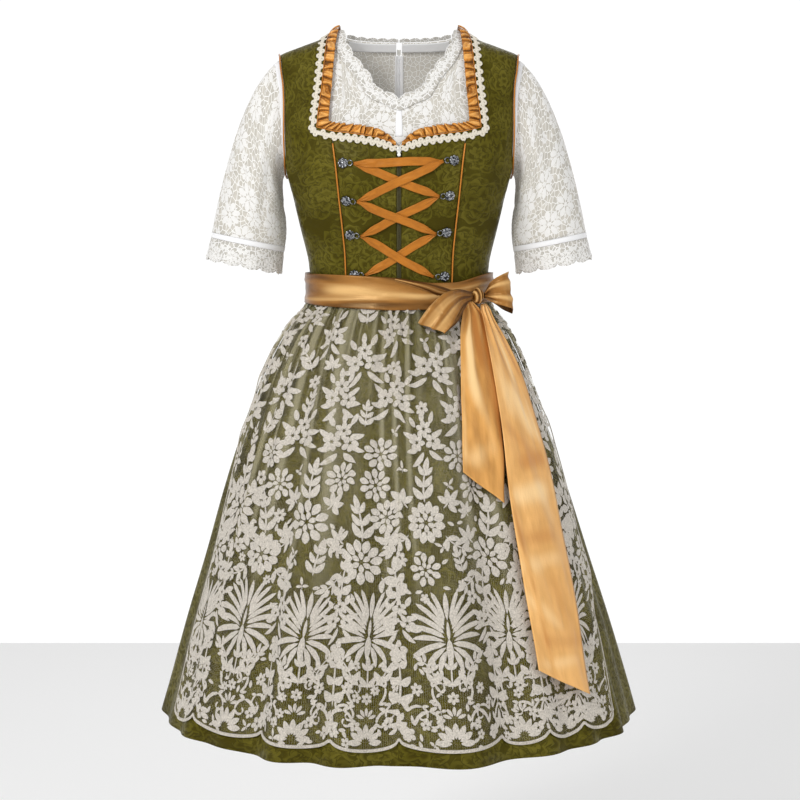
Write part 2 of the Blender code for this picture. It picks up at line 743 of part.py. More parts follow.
def neck_trims():
    right = list(reversed(FRONT_NECK))
    sheet_pair("neck_frill", frill_rows(right, FRONT, FRILL_PITCH), SATIN, wall=LACE, offset=0.0)
    sheet_pair("neck_braid", braid_rows(right, FRONT), BRAID, wall=LACE)
    back = whole_neck(BACK_NECK)
    frill = frill_rows(back, BACK, BACK_FRILL_PITCH)
    sheet("neck_frill_back", frill, SATIN, wall=LACE, offset=0.0, flip=True)
    sheet("neck_braid_back", braid_rows(back, BACK), BRAID, wall=LACE, flip=True)


# ---- hooks and lacing ----
def surface_turn(x, level):
    """The turn that lays a piece made on the XY plane onto the bodice's front."""
    return outward(on_body(x, level)).to_track_quat("Z", "Y").to_euler()


def flower_mesh(name, toward):
    """A petalled dome with the ring of its hook, reaching toward the centre front."""
    shape = bmesh.new()
    sides = 2 * BUTTON_PETALS
    rings = ((1.0, 0.0), (1.0, 0.45), (0.52, 0.80))
    levels = []
    for reach, height in rings:
        ring = []
        for i in range(sides):
            petal = 1.0 if i % 2 == 0 else 0.84
            angle = 2 * math.pi * i / sides
            radius = BUTTON_RADIUS * reach * petal
            ring.append(
                shape.verts.new((radius * math.cos(angle), radius * math.sin(angle), height * BUTTON_HEIGHT))
            )
        levels.append(ring)
    tip = shape.verts.new((0, 0, BUTTON_HEIGHT))
    for lower, upper in zip(levels, levels[1:]):
        for i in range(sides):
            k = (i + 1) % sides
            shape.faces.new((lower[i], lower[k], upper[k], upper[i]))
    for i in range(sides):
        shape.faces.new((levels[-1][i], levels[-1][(i + 1) % sides], tip))
    shape.faces.new(list(reversed(levels[0])))
    mesh = bpy.data.meshes.new(name)
    shape.to_mesh(mesh)
    shape.free()
    ring = ring_mesh(name + "_ring", toward)
    return joined(mesh, ring)


def ring_mesh(name, toward):
    bpy.ops.mesh.primitive_torus_add(
        major_segments=8, minor_segments=4, major_radius=RING_RADIUS, minor_radius=RING_WIRE
    )
    torus = bpy.context.object
    mesh = torus.data
    mesh.transform(torus.matrix_world)
    for vertex in mesh.vertices:
        vertex.co += Vector((toward * RING_REACH, 0.0, 0.0012))
    bpy.data.objects.remove(torus)
    mesh.name = name
    return mesh


def joined(first, second):
    """The union of two meshes, as one mesh."""
    body = bpy.data.objects.new("union_body", first)
    tool = bpy.data.objects.new("union_tool", second)
    for item in (body, tool):
        CUTTERS.objects.link(item)
    union = body.modifiers.new("union", "BOOLEAN")
    union.operation = "UNION"
    union.object = tool
    bpy.context.view_layer.update()
    made = bpy.data.meshes.new_from_object(body.evaluated_get(bpy.context.evaluated_depsgraph_get()))
    for item in (body, tool):
        bpy.data.objects.remove(item)
    return made


def hooks():
    for name, hook in HOOKS.items():
        toward = -1 if hook.x > 0 else 1
        item = add_object("flower_hook_" + name, flower_mesh(name, toward), SILVER)
        item.location = on_body(hook.x, hook.level, FRONT, SEAM + 0.0002)
        item.rotation_euler = surface_turn(hook.x, hook.level)


def ribbon_height(stretch, share):
    start = eased(share, 0.27, 0.38)
    end = eased(share, 0.62, 0.73)
    return mix(mix(stretch.at_start, stretch.at_middle, start), stretch.at_end, end)


def lacing():
    for number, stretch in enumerate(LACING, 1):
        ends = []
        for hook in (HOOKS[stretch.start], HOOKS[stretch.end]):
            ends.append(Vector((hook.x - math.copysign(RIBBON_REACH, hook.x), hook.level - 0.0012)))
        if ends[0].x > ends[1].x:
            ends.reverse()
            stretch = stretch._replace(at_start=stretch.at_end, at_end=stretch.at_start)
        run = ends[1] - ends[0]
        side = Vector((-run.y, run.x)).normalized()
        lower, upper = [], []
        for share in shares(10):
            from_end = min(share, 1 - share) * run.length
            half = mix(RIBBON_PINCH, RIBBON_WIDTH, eased(from_end, 0.0, 0.022)) / 2
            middle = ends[0] + run * share
            height = ribbon_height(stretch, share)
            lower.append(on_body(*(middle - side * half), FRONT, height))
            upper.append(on_body(*(middle + side * half), FRONT, height))
        sheet(f"lacing_{number}", [lower, upper], SATIN, wall=LACE, offset=-1.0)


# ---- apron and sash ----
read_apron_sides = reader(APRON_SIDES)


def apron_hem(angle):
    """Height of the scalloped hem: cusps at the named angles and a round lobe between each two."""
    for a, b in zip(APRON_CUSPS, APRON_CUSPS[1:]):
        if a <= angle <= b:
            share = 2 * (angle - a) / (b - a) - 1
            return APRON_CUSP_Z - APRON_SCALLOP * math.sqrt(max(1 - share * share, 0.0))
    return APRON_CUSP_Z


def apron_lift(angle, z):
    """Height over the skirt's valleys and ridges: at the sides the apron bridges its folds."""
    bridged = max(fold_height(angle + turn, z) for turn in (-8, -4, 0, 4, 8))
    return APRON_OUT + mix(fold_height(angle, z), bridged, eased(abs(angle), 45, 58))


def apron():
    low, high = APRON_CUSPS[0], APRON_CUSPS[-1]
    steady = range(-APRON_STEADY, APRON_STEADY + 1, 3)
    beyond = shares(APRON_SIDE_COLUMNS)[1:]
    rows = []
    for height in (None, *SKIRT_ROWS[1:], APRON_SIDES[0].z):
        left, right = read_apron_sides(height or APRON_CUSP_Z)
        angles = [mix(-APRON_STEADY, left if height else low, share) for share in reversed(beyond)]
        angles += steady
        angles += [mix(APRON_STEADY, right if height else high, share) for share in beyond]
        row = []
        for angle in angles:
            z = height or apron_hem(angle)
            row.append(girth_point(angle, z, apron_lift(angle, z), folded=False))
        rows.append(row)
    sheet("apron_panel", rows, TULLE, wall=LACE)


read_sash = reader(SASH)


def sash():
    """The band round the waist, with soft lengthwise folds."""
    folds = ((0.0, 0.0), (0.28, 0.0011), (0.55, 0.0003), (0.80, 0.0012), (1.0, 0.0))
    angles = [10 * i for i in range(36)]
    rows = []
    for share_up, lift in folds:
        row = []
        for angle in angles:
            x = girth_point(angle, WAIST, folded=False).x
            top, bottom = read_sash(x)
            if math.cos(math.radians(angle)) < 0:
                top, bottom = SASH_BACK.top, SASH_BACK.bottom
            row.append(girth_point(angle, mix(bottom, top, share_up), SASH_OUT + lift, folded=False))
        rows.append(row)
    sheet("sash_band", rows, SATIN, tube=True)
    lower = [on_body(stop.x, stop.bottom, FRONT, SASH_OUT + 0.0030) for stop in CROSSING]
    upper = [on_body(stop.x, stop.top, FRONT, SASH_OUT + 0.0030) for stop in CROSSING]
    middle = [(a + b) / 2 + outward(a) * 0.0010 for a, b in zip(lower, upper)]
    sheet("sash_crossing", [lower, middle, upper], SATIN, wall=LACE)


def bow():
    bpy.ops.mesh.primitive_uv_sphere_add(segments=14, ring_count=8, radius=1.0)
    knot = bpy.context.object
    mesh = knot.data
    bpy.data.objects.remove(knot)
    for vertex in mesh.vertices:
        vertex.co = Vector(a * b for a, b in zip(vertex.co, KNOT_RADII))
    item = add_object("bow_knot", mesh, SATIN)
    item.location = KNOT_AT
    item.rotation_euler = (0.0, 0.0, KNOT_TURN)
    for name, turns in (("bow_loop_left", LOOP_LEFT), ("bow_loop_right", LOOP_RIGHT)):
        table = reader([(i, *turn) for i, turn in enumerate(turns)])
        rows = []
        for share in shares(14):
            ax, az, bx, bz, y = table(share * (len(turns) - 1))
            rows.append([mix(Vector((ax, y, az)), Vector((bx, y, bz)), s) for s in shares(2)])
        sheet(name, rows, SATIN, wall=LACE, offset=0.0)
    for name, strips, ends, over in (
        ("bow_tail_short", TAIL_SHORT, TAIL_SHORT_ENDS, 0.0),
        ("bow_tail_long", TAIL_LONG, TAIL_LONG_ENDS, TAIL_OVER),
    ):
        sheet(name, tail_rows(strips, ends, over), SATIN, wall=LACE)


def tail_rows(strips, ends, over):
    """A tail of the sash, laid over the highest fold beneath it at each height."""
    edges = reader(strips)
    top = strips[0].z
    rows = []
    for share_up in shares(11):
        row = []
        for share in shares(3):
            z = mix(mix(*ends, share), top, share_up)
            left, right = edges(z)
            x = mix(left, right, share)
            highest = max(fold_height(angle, z) for angle in range(20, 66, 2))
            free = mix(TAIL_OUT_TOP, TAIL_OUT, eased(z, top, -0.440))
            lift = max(free, TAIL_OUT) + highest + over
            held = min(x, TAIL_REACH * ring_at(z).right)
            point = body_point(held, z, FRONT)
            normal = outward(point)
            slope = -normal.x / normal.y
            deep = point.y + slope * (x - held) - lift / abs(normal.y)
            row.append(Vector((x, deep, z)))
        rows.append(row)
    return rows


# ---- blouse ----
read_blouse_front = reader(BLOUSE_FRONT_NECK)
read_blouse_back = reader(BLOUSE_BACK_NECK)
BLOUSE_ARMPIT = ARMPIT + BLOUSE_MARGIN


def blouse_x(level):
    return outer_x(level, BLOUSE_MARGIN, BLOUSE_ARMPIT)


def blouse_rows(half_shares, side, read_neck, centre=0.0):
    """Rows from the blouse's hem to its neckline and shoulder; centre is the width of its first column."""
    shoulder = blouse_x(0.0)
    rows = []
    for row_level in (BLOUSE_HEM, ARMPIT, *UPPER_LEVELS):
        share_up = 1 - row_level / BLOUSE_HEM
        row = []
        for share in half_shares:
            width = max(shoulder * abs(share), centre)
            top = 0.0
            if width < BLOUSE_FRONT_NECK[-1].x:
                top = level_at(width, read_neck(width)[0], side)
            level = mix(BLOUSE_HEM, top, share_up)
            x = max(across(0.0, blouse_x(level), abs(share), level), centre)
            row.append(on_body(math.copysign(x, share), level, side, BLOUSE_OUT))
        rows.append(row)
    return rows


def blouse_body():
    neck = BLOUSE_FRONT_NECK[-1].x / blouse_x(0.0)
    half = [0, 0.07, 0.19, 0.27, 0.375, neck - 0.03, neck + 0.002, 0.58, 0.68, 0.78, 0.89, 1.0]
    sheet("blouse_front", blouse_rows(columns_of(half), FRONT, read_blouse_front), LACE_WHITE, wall=LACE)
    shares_of_back, strap = back_shares()
    strap_columns = [share for share in shares_of_back if share >= strap]
    half = [0, 0.16, 0.32, neck - 0.03, neck + 0.002, *strap_columns]
    rows = blouse_rows(half, BACK, read_blouse_back, BLOUSE_ZIP_EDGE)
    sheet_pair("blouse_back", rows, LACE_WHITE, wall=LACE, flip=True)


def lace_curve(points):
    """Even steps along a line of widths and heights, each with the direction across it."""
    line = [Vector(point) for point in points]
    length = sum((b - a).length for a, b in zip(line, line[1:]))
    steps = 4 * round(length / NECK_PITCH)
    found, way, i = [], 0.0, 0
    for step in range(steps + 1):
        target = length * step / steps
        while i < len(line) - 2 and way + (line[i + 1] - line[i]).length < target:
            way += (line[i + 1] - line[i]).length
            i += 1
        run = line[i + 1] - line[i]
        place = line[i] + run * min((target - way) / run.length, 1.0)
        found.append((step, place, Vector((run.y, -run.x)).normalized()))
    return found


def neck_lace():
    """Scalloped lace along the blouse's neckline, lying on the front and standing above the back."""
    right = [(edge.x, edge.z) for edge in BLOUSE_FRONT_NECK[:-1]] + [(0.0850, -0.0035)]
    upper, lower = [], []
    for step, place, aside in lace_curve(right):
        lobe = NECK_SCALLOP * math.sin(math.pi * (step % 4) / 4)
        for row, shift in ((upper, -lobe), (lower, NECK_LACE_WIDTH)):
            x, z = place + aside * shift * (-1 if aside.y > 0 else 1)
            x = min(x, 0.096) if z > -0.02 else x
            z = min(z, ridge(round(max(x, 0.0), 4)) - 0.0010)
            level = level_at(max(x, 0.0), z, FRONT)
            row.append(on_body(max(x, 0.0), level, FRONT, BLOUSE_OUT + NECK_LACE_PROUD))
    rows = [lower, upper]
    whole = [left[:-1] + row for left, row in zip(mirrored(rows), rows)]
    sheet("neck_lace_front", whole, LACE_WHITE, wall=LACE)
    rows = []
    steps = 20
    for part in ("low", "high"):
        row = []
        for i in range(steps + 1):
            x = mix(0.0008, 0.0800, i / steps)
            edge = read_blouse_back(x)[0]
            lobe = 0.0025 * math.sin(math.pi * (i % 4) / 4)
            z = edge + 3 * SEAM if part == "low" else min(edge + BACK_LACE_WIDTH - 0.0020 + lobe, -0.0008)
            row.append(on_body(x, level_at(x, z, BACK), BACK, BLOUSE_OUT))
        rows.append(row)
    sheet_pair("neck_lace_back", rows, LACE_WHITE, wall=LACE, flip=True)
    rows = []
    for drop in (NECK_BAND_WIDTH, 0.0):
        row = []
        for share in shares(8):
            x = mix(BLOUSE_ZIP_EDGE, 0.0790, share)
            z = read_blouse_back(x)[0] - drop
            row.append(on_body(x, level_at(x, z, BACK), BACK, BLOUSE_OUT - LACE - 0.0026))
        rows.append(row)
    sheet_pair("neck_band_back", rows, COTTON, wall=LACE, flip=True)


def sleeve_ring(steps):
    """The sleeve's start just inside the armhole, from the top round the front, bottom and back."""
    ring = []
    for i in range(2 * steps):
        side = FRONT if i <= steps else BACK
        turn = math.pi * i / steps
        level = BLOUSE_ARMPIT * (1 - math.cos(turn)) / 2
        point = on_body(blouse_x(level), level, side, BLOUSE_OUT) + Vector((2 * SEAM, 0.0, 0.0))
        if i in (0, steps):
            point.y = 0.0
        ring.append((turn, point))
    return ring


def cuff_point(turn, down, grow=0.0):
    """A point round the cuff, this far down from the sleeve's seam with the band."""
    place = CUFF_AT + CUFF_ACROSS * math.cos(turn) * (CUFF_RADIUS_X + grow)
    place += Vector((0.0, -math.sin(turn) * (CUFF_RADIUS_Y + grow), 0.0))
    return place + CUFF_AXIS * down


def sleeve():
    ring = sleeve_ring(9)
    rows = []
    for share in shares(6):
        row = []
        for turn, start in ring:
            top = (1 + math.cos(turn)) / 2
            end = cuff_point(turn, 0.0)
            bend = start + CAP_BOTTOM.lerp(CAP_TOP, top)
            fall = end - CUFF_AXIS * mix(CAP_FALL_BOTTOM, CAP_FALL_TOP, top)
            back = 1 - share
            row.append(
                start * back**3
                + bend * 3 * back**2 * share
                + fall * 3 * back * share**2
                + end * share**3
            )
        rows.append(row)
    sheet_pair("sleeve", rows, LACE_WHITE, wall=LACE, tube=True)
    turns = [2 * math.pi * i / 24 for i in range(24)]
    band = [[cuff_point(turn, down, BAND_RAISE) for turn in turns] for down in (SEAM, BAND_WIDTH)]
    sheet_pair("cuff_band", band, COTTON, wall=LACE, tube=True)
    count = 3 * EDGING_SCALLOPS
    top = BAND_WIDTH + SEAM
    rows = [[], []]
    for i in range(count):
        turn = 2 * math.pi * i / count
        lobe = EDGING_SCALLOP * math.sin(math.pi * (i % 3) / 3)
        rows[0].append(cuff_point(turn, top))
        rows[1].append(cuff_point(turn, top + EDGING_WIDTH - EDGING_SCALLOP + lobe, EDGING_FLARE))
    sheet_pair("cuff_lace", rows, LACE_WHITE, wall=LACE, tube=True)


# ---- zips ----
def pull_mesh(name, width, length):
    """A drop-shaped tab with a square eye whose top bar is the hinge, in the XZ plane."""
    bar, eye_low, eye_half = 0.0005, -0.0032, 0.0013
    outline = [(-width * 0.42, bar), (-width * 0.42, eye_low), (-width * 0.22, -length * 0.45)]
    centre, radius = -length + width / 2, width / 2
    outline += [
        (radius * math.cos(angle), centre + radius * math.sin(angle))
        for angle in (math.pi * (1 + i / 6) for i in range(7))
    ]
    outline += [(width * 0.22, -length * 0.45), (width * 0.42, eye_low), (width * 0.42, bar)]
    eye = [(-eye_half, -bar), (-eye_half, eye_low), (eye_half, eye_low), (eye_half, -bar)]
    curve = bpy.data.curves.new(name, "CURVE")
    curve.dimensions = "2D"
    curve.fill_mode = "BOTH"
    curve.extrude = PULL_THICKNESS / 2
    for points in (outline, eye):
        spline = curve.splines.new("POLY")
        spline.points.add(len(points) - 1)
        for place, (x, y) in zip(spline.points, points):
            place.co = (x, y, 0.0, 1.0)
        spline.use_cyclic_u = True
    return curve


def slider_mesh(name):
    """The slider's box with the bridge that carries the tab."""
    shape = bmesh.new()
    made = bmesh.ops.create_cube(shape, size=1.0)
    for vertex in made["verts"]:
        vertex.co.x *= SLIDER_WIDTH
        vertex.co.y = (vertex.co.y - 0.5) * SLIDER_DEPTH
        vertex.co.z *= SLIDER_LENGTH
    box = bpy.data.meshes.new(name)
    shape.to_mesh(box)
    shape.free()
    foot, crown = -SLIDER_DEPTH + 0.0005, -BRIDGE_TOP
    route = ((foot, 0.0034), (crown + 0.0010, 0.0032), (crown, 0.0020), (crown, 0.0), (crown + 0.0010, -0.0012))
    route += ((foot, -0.0014),)
    wire = cord(name + "_bridge", [(0.0, y, z) for y, z in route], BRIDGE_WIRE, SILVER, sides=0)
    bpy.context.view_layer.update()
    solid = bpy.data.meshes.new_from_object(wire.evaluated_get(bpy.context.evaluated_depsgraph_get()))
    bpy.data.objects.remove(wire)
    welded = bmesh.new()
    welded.from_mesh(solid)
    bmesh.ops.remove_doubles(welded, verts=welded.verts, dist=0.00001)
    bmesh.ops.recalc_face_normals(welded, faces=welded.faces)
    welded.to_mesh(solid)
    welded.free()
    return joined(box, solid)


def zip_fittings(name, place, normal, width, length, slider_finish, pull_finish):
    """A slider and its hanging tab, parented to an empty that stands square to the cloth."""
    frame = bpy.data.objects.new(name + "_frame", None)
    PARTS.objects.link(frame)
    frame.location = place
    turn = 0.0 if normal.y < 0 else math.pi
    frame.rotation_euler = (math.atan2(-normal.z, abs(normal.y)), 0.0, turn)
    slider = add_object(name + "_slider", slider_mesh(name + "_slider"), slider_finish)
    slider.parent = frame
    pull = add_object(name + "_pull", pull_mesh(name + "_pull", width, length), pull_finish)
    pull.parent = frame
    pull.location = (0.0, -PULL_AXIS_OUT, PULL_AXIS_UP)
    pull.rotation_euler = (math.radians(90), 0.0, 0.0)


def zips():
    levels = [mix(WAIST + SEAM, -0.1815, share) for share in shares(10)]
    half = ZIP_EDGE - 2 * SEAM
    rows = [[on_body(x, level, FRONT, SEAM) for x in (-half, half)] for level in levels]
    sheet("front_zip", rows, ZIP_GREEN, wall=0.0016)
    base = on_body(0.0, -0.1862)
    normal = outward(base)
    zip_fittings("front_zip", base + normal * 2 * SEAM, normal, 0.0052, 0.0112, ENAMEL, ENAMEL)
    half = BLOUSE_ZIP_EDGE - 2 * SEAM
    heights = [mix(BLOUSE_HEM, -0.0335, share) for share in shares(9)]
    rows = []
    for z in heights:
        rows.append([on_body(x, level_at(x, z, BACK), BACK, BLOUSE_OUT) for x in (-half, half)])
    sheet("blouse_zip", rows, COTTON, wall=LACE, flip=True)
    base = on_body(0.0, level_at(0.0, -0.0285, BACK), BACK, BLOUSE_OUT)
    normal = outward(base)
    zip_fittings("blouse_zip", base - normal * 0.0011, normal, 0.0044, 0.0120, ENAMEL, ENAMEL)


clear_scene()
PARTS = new_collection("dirndl_dress")
CUTTERS = new_collection("cutters")
CUTTERS.hide_render = True
JACQUARD = finish("olive_jacquard", (0.075, 0.072, 0.014), 0.55)
SATIN = finish("amber_satin", (0.52, 0.24, 0.055), 0.35)
BRAID = finish("cream_braid", (0.82, 0.76, 0.66), 0.85)
LACE_WHITE = finish("white_lace", (0.86, 0.86, 0.84), 0.80)
COTTON = finish("white_cotton", (0.90, 0.90, 0.90), 0.85)
TULLE = finish("embroidered_tulle", (0.55, 0.52, 0.47), 0.75)
SILVER = finish("antique_silver", (0.33, 0.33, 0.35), 0.40, 1.0)
ENAMEL = finish("white_enamel", (0.88, 0.87, 0.84), 0.35)
ZIP_GREEN = finish("zip_tape", (0.05, 0.055, 0.035), 0.70)

bodice_front_centre()
bodice_front_side()
bodice_back()
skirt()
piping()
neck_trims()
hooks()
lacing()
apron()
sash()
bow()
blouse_body()
neck_lace()
sleeve()
zips()
bpy.data.collections.remove(CUTTERS)
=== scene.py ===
# %% [markdown]
# # A laced dirndl: jacquard dress, lace apron with satin sash, lace blouse
#
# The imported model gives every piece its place. This lesson dresses it: each cloth is woven again as a
# fine grid on the same body surface, and the lace, the braid and the small hardware are added to it.

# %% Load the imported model
import json
import math
import random
from collections import namedtuple

import bmesh
import bpy
import numpy as np
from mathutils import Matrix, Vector

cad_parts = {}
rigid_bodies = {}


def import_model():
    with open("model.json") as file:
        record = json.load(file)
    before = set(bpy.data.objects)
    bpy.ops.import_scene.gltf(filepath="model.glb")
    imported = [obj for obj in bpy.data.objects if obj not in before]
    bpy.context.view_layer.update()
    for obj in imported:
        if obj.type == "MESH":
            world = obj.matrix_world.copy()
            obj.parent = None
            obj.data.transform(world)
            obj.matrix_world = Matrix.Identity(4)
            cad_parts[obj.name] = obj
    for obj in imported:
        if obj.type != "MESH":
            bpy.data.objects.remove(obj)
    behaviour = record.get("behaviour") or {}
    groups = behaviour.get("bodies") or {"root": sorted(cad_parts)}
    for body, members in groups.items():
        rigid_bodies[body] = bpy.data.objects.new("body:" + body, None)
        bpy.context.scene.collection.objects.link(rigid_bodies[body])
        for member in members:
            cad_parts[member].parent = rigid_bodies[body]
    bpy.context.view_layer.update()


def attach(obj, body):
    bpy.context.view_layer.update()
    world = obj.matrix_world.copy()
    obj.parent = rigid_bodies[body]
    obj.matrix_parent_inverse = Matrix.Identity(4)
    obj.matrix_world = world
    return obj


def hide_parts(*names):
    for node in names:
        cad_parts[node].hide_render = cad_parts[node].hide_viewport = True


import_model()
GARMENT = "garment"

# %% [markdown]
# ## Camera and studio
#
# A garment is best read from the front at chest height, with a long lens so that the hem doesn't
# spread. The light is soft: a big key lamp high on the left, a weaker one on the right and a pale room.

# %% Camera
PITCH = math.radians(5.15)
camera = bpy.data.objects.new("camera", bpy.data.cameras.new("camera"))
camera.data.sensor_width = 36.0
camera.data.lens = 84.4
camera.location = (0.0015, -2.8, -0.30)
camera.rotation_euler = (math.pi / 2 - PITCH, 0.0, 0.0)
bpy.context.scene.collection.objects.link(camera)
bpy.context.scene.camera = camera


# %% Lamps, room and floor
def linear(code):
    """An sRGB hex colour as the linear values that Blender works in."""
    parts = [int(code[i : i + 2], 16) / 255 for i in (1, 3, 5)]
    return [p / 12.92 if p <= 0.04045 else ((p + 0.055) / 1.055) ** 2.4 for p in parts] + [1.0]


def add_node(tree, kind, inputs=None, **settings):
    """Adds one shader node. An input takes a value or another node's output."""
    node = tree.nodes.new("ShaderNode" + kind)
    for key, value in settings.items():
        setattr(node, key, value)
    for key, value in (inputs or {}).items():
        if isinstance(value, bpy.types.NodeSocket):
            tree.links.new(value, node.inputs[key])
        else:
            node.inputs[key].default_value = value
    return node


def lamp(name, place, aim, size, power):
    data = bpy.data.lights.new(name, "AREA")
    data.size = size
    data.energy = power
    item = bpy.data.objects.new(name, data)
    item.location = place
    item.rotation_euler = (Vector(aim) - Vector(place)).to_track_quat("-Z", "Y").to_euler()
    bpy.context.scene.collection.objects.link(item)


lamp("key_lamp", (-1.5, -2.6, 1.2), (0, 0, -0.45), 0.8, 52)
lamp("fill_lamp", (1.9, -2.4, 0.0), (0, 0, -0.6), 1.2, 12)
lamp("back_lamp", (0.3, 2.7, 1.6), (0, 0, -0.4), 1.4, 12)
bpy.context.scene.view_settings.view_transform = "Standard"
bpy.context.scene.view_settings.exposure = 0.0
room = bpy.data.worlds.new("pale_room")
room.use_nodes = True
light = room.node_tree.nodes["Background"]
looking = add_node(room.node_tree, "NewGeometry").outputs["Incoming"]
depth = add_node(room.node_tree, "SeparateXYZ", {0: looking}).outputs[1]
ramp = {"Value": depth, "From Min": 0.1, "From Max": -0.8, "To Min": 0.54, "To Max": 1.05}
bright = add_node(room.node_tree, "MapRange", ramp)
room.node_tree.links.new(bright.outputs[0], light.inputs["Strength"])
light.inputs["Color"].default_value = linear("#ffffff")
bpy.context.scene.world = room
FLOOR_HALF, FLOOR_LEVEL = 2.6, -1.5
CORNERS = ((-1, -1), (1, -1), (1, 1), (-1, 1))
floor_mesh = bpy.data.meshes.new("floor")
floor_points = [(a * FLOOR_HALF, b * FLOOR_HALF, FLOOR_LEVEL) for a, b in CORNERS]
floor_mesh.from_pydata(floor_points, [], [(0, 1, 2, 3)])
floor = bpy.data.objects.new("floor", floor_mesh)
paper = bpy.data.materials.new("white paper floor")
paper.use_nodes = True
surface = paper.node_tree.nodes["Principled BSDF"]
surface.inputs["Base Color"].default_value = linear("#fbfbfb")
surface.inputs["Roughness"].default_value = 0.9
floor_mesh.materials.append(paper)
bpy.context.scene.collection.objects.link(floor)

# %% [markdown]
# ## The body surface
#
# The garment is filled out by a general figure. That form is a stack of rounded rings, so one table
# and one smooth reader give the surface at any height. A level is a height that follows the cloth
# over the shoulder, up to the shoulder seam at 0. numpy works on whole grids of points at once.

# %% The rings of the body, in metres
SEAM = 0.0004
CHEST, ARMPIT, WAIST, HEM = -0.100, -0.222, -0.3868, -1.0245
RINGS = (  # height, half widths left and right, depths front and back, roundness
    (0.0000, 0.0855, 0.0855, 0.035, 0.058, 2.40),
    (-0.0100, 0.1000, 0.1000, 0.045, 0.066, 2.40),
    (-0.0195, 0.1150, 0.1150, 0.055, 0.072, 2.40),
    (-0.0310, 0.1450, 0.1450, 0.063, 0.078, 2.40),
    (-0.0435, 0.1755, 0.1755, 0.070, 0.083, 2.40),
    (-0.0550, 0.1860, 0.1860, 0.076, 0.087, 2.40),
    (-0.0800, 0.1870, 0.1870, 0.088, 0.094, 2.45),
    (-0.1300, 0.1840, 0.1840, 0.110, 0.103, 2.55),
    (-0.1700, 0.1780, 0.1780, 0.124, 0.104, 2.60),
    (-0.2000, 0.1710, 0.1710, 0.130, 0.102, 2.60),
    (-0.2220, 0.1640, 0.1640, 0.131, 0.099, 2.60),
    (-0.2500, 0.1570, 0.1570, 0.126, 0.095, 2.50),
    (-0.3000, 0.1450, 0.1450, 0.111, 0.088, 2.40),
    (-0.3460, 0.1345, 0.1345, 0.100, 0.084, 2.30),
    (-0.3870, 0.1305, 0.1305, 0.098, 0.086, 2.25),
    (-0.4100, 0.1345, 0.1340, 0.104, 0.092, 2.25),
    (-0.4400, 0.1550, 0.1500, 0.123, 0.118, 2.20),
    (-0.4884, 0.1830, 0.1740, 0.148, 0.148, 2.15),
    (-0.5411, 0.2060, 0.1940, 0.172, 0.175, 2.10),
    (-0.6131, 0.2340, 0.2225, 0.200, 0.205, 2.05),
    (-0.6900, 0.2576, 0.2485, 0.226, 0.232, 2.00),
    (-0.7829, 0.2825, 0.2770, 0.249, 0.256, 2.00),
    (-0.8856, 0.3120, 0.3090, 0.274, 0.282, 2.00),
    (-0.9838, 0.3376, 0.3370, 0.297, 0.304, 2.00),
    (HEM, 0.3490, 0.3480, 0.305, 0.312, 2.00),
)


def reader(rows):
    """A function that reads a table smoothly, without overshoot, at an array of its first column."""
    table = np.array(sorted(rows), float)
    keys, values = table[:, 0], table[:, 1:]
    rise = np.diff(values, axis=0) / np.diff(keys)[:, None]
    a, b = rise[:-1], rise[1:]
    inner = np.where(a * b > 0, 2 * a * b / np.where(a + b == 0, 1, a + b), 0)
    slopes = np.vstack([rise[:1], inner, rise[-1:]])

    def read(key):
        key = np.clip(np.asarray(key, float), keys[0], keys[-1])
        i = np.clip(np.searchsorted(keys, key, side="right") - 1, 0, len(keys) - 2)
        width = (keys[i + 1] - keys[i])[..., None]
        t = (key[..., None] - keys[i][..., None]) / width
        ease = t * t * (3 - 2 * t)
        bend = width * t * (1 - t) * (slopes[i] * (1 - t) - slopes[i + 1] * t)
        return np.moveaxis(values[i] * (1 - ease) + values[i + 1] * ease + bend, -1, 0)

    return read


read_ring = reader(RINGS)


def mix(a, b, share):
    return a + (b - a) * share


def eased(value, start, end):
    t = np.clip((np.asarray(value, float) - start) / (end - start), 0, 1)
    return t * t * (3 - 2 * t)


# %% Points on the body and the way straight out of it
FRONT, BACK = -1, 1


def body_depth(x, z, side):
    left, right, front, back, n = read_ring(z)
    reach = np.minimum(np.abs(x) / np.where(x > 0, right, left), 1.0)
    depth = (front if side == FRONT else back) * (1 - reach**n) ** (1 / n)
    return side * np.maximum(depth, SEAM)


def ring_value(x, y, z):
    left, right, front, back, n = read_ring(np.minimum(z, 0.0))
    return (np.abs(x) / np.where(x > 0, right, left)) ** n + (
        np.abs(y) / np.where(y < 0, front, back)
    ) ** n


def outward(points):
    x, y, z = np.moveaxis(points, -1, 0)
    step = 0.0001
    slope = np.stack(
        [
            ring_value(x + step, y, z) - ring_value(x - step, y, z),
            ring_value(x, y + step, z) - ring_value(x, y - step, z),
            ring_value(x, y, z + step) - ring_value(x, y, z - step),
        ],
        axis=-1,
    )
    return slope / np.linalg.norm(slope, axis=-1, keepdims=True)


def shoulder_run(x, side):
    """For each width, heights up to the shoulder line and how far along the cloth each one is."""
    low, high = np.full_like(x, -0.060), np.zeros_like(x)
    for _ in range(34):
        middle = (low + high) / 2
        wide = read_ring(middle)[1] > np.abs(x)
        low, high = np.where(wide, middle, low), np.where(wide, high, middle)
    top = np.where(np.abs(x) <= RINGS[0][1], 0.0, high)[..., None]
    z = top - (top - CHEST) * (1 - np.arange(33) / 32) ** 2
    y = body_depth(x[..., None] + 0 * z, z, side)
    steps = np.hypot(np.diff(y), np.diff(z))
    return np.concatenate([0 * top, np.cumsum(steps, axis=-1)], axis=-1), z


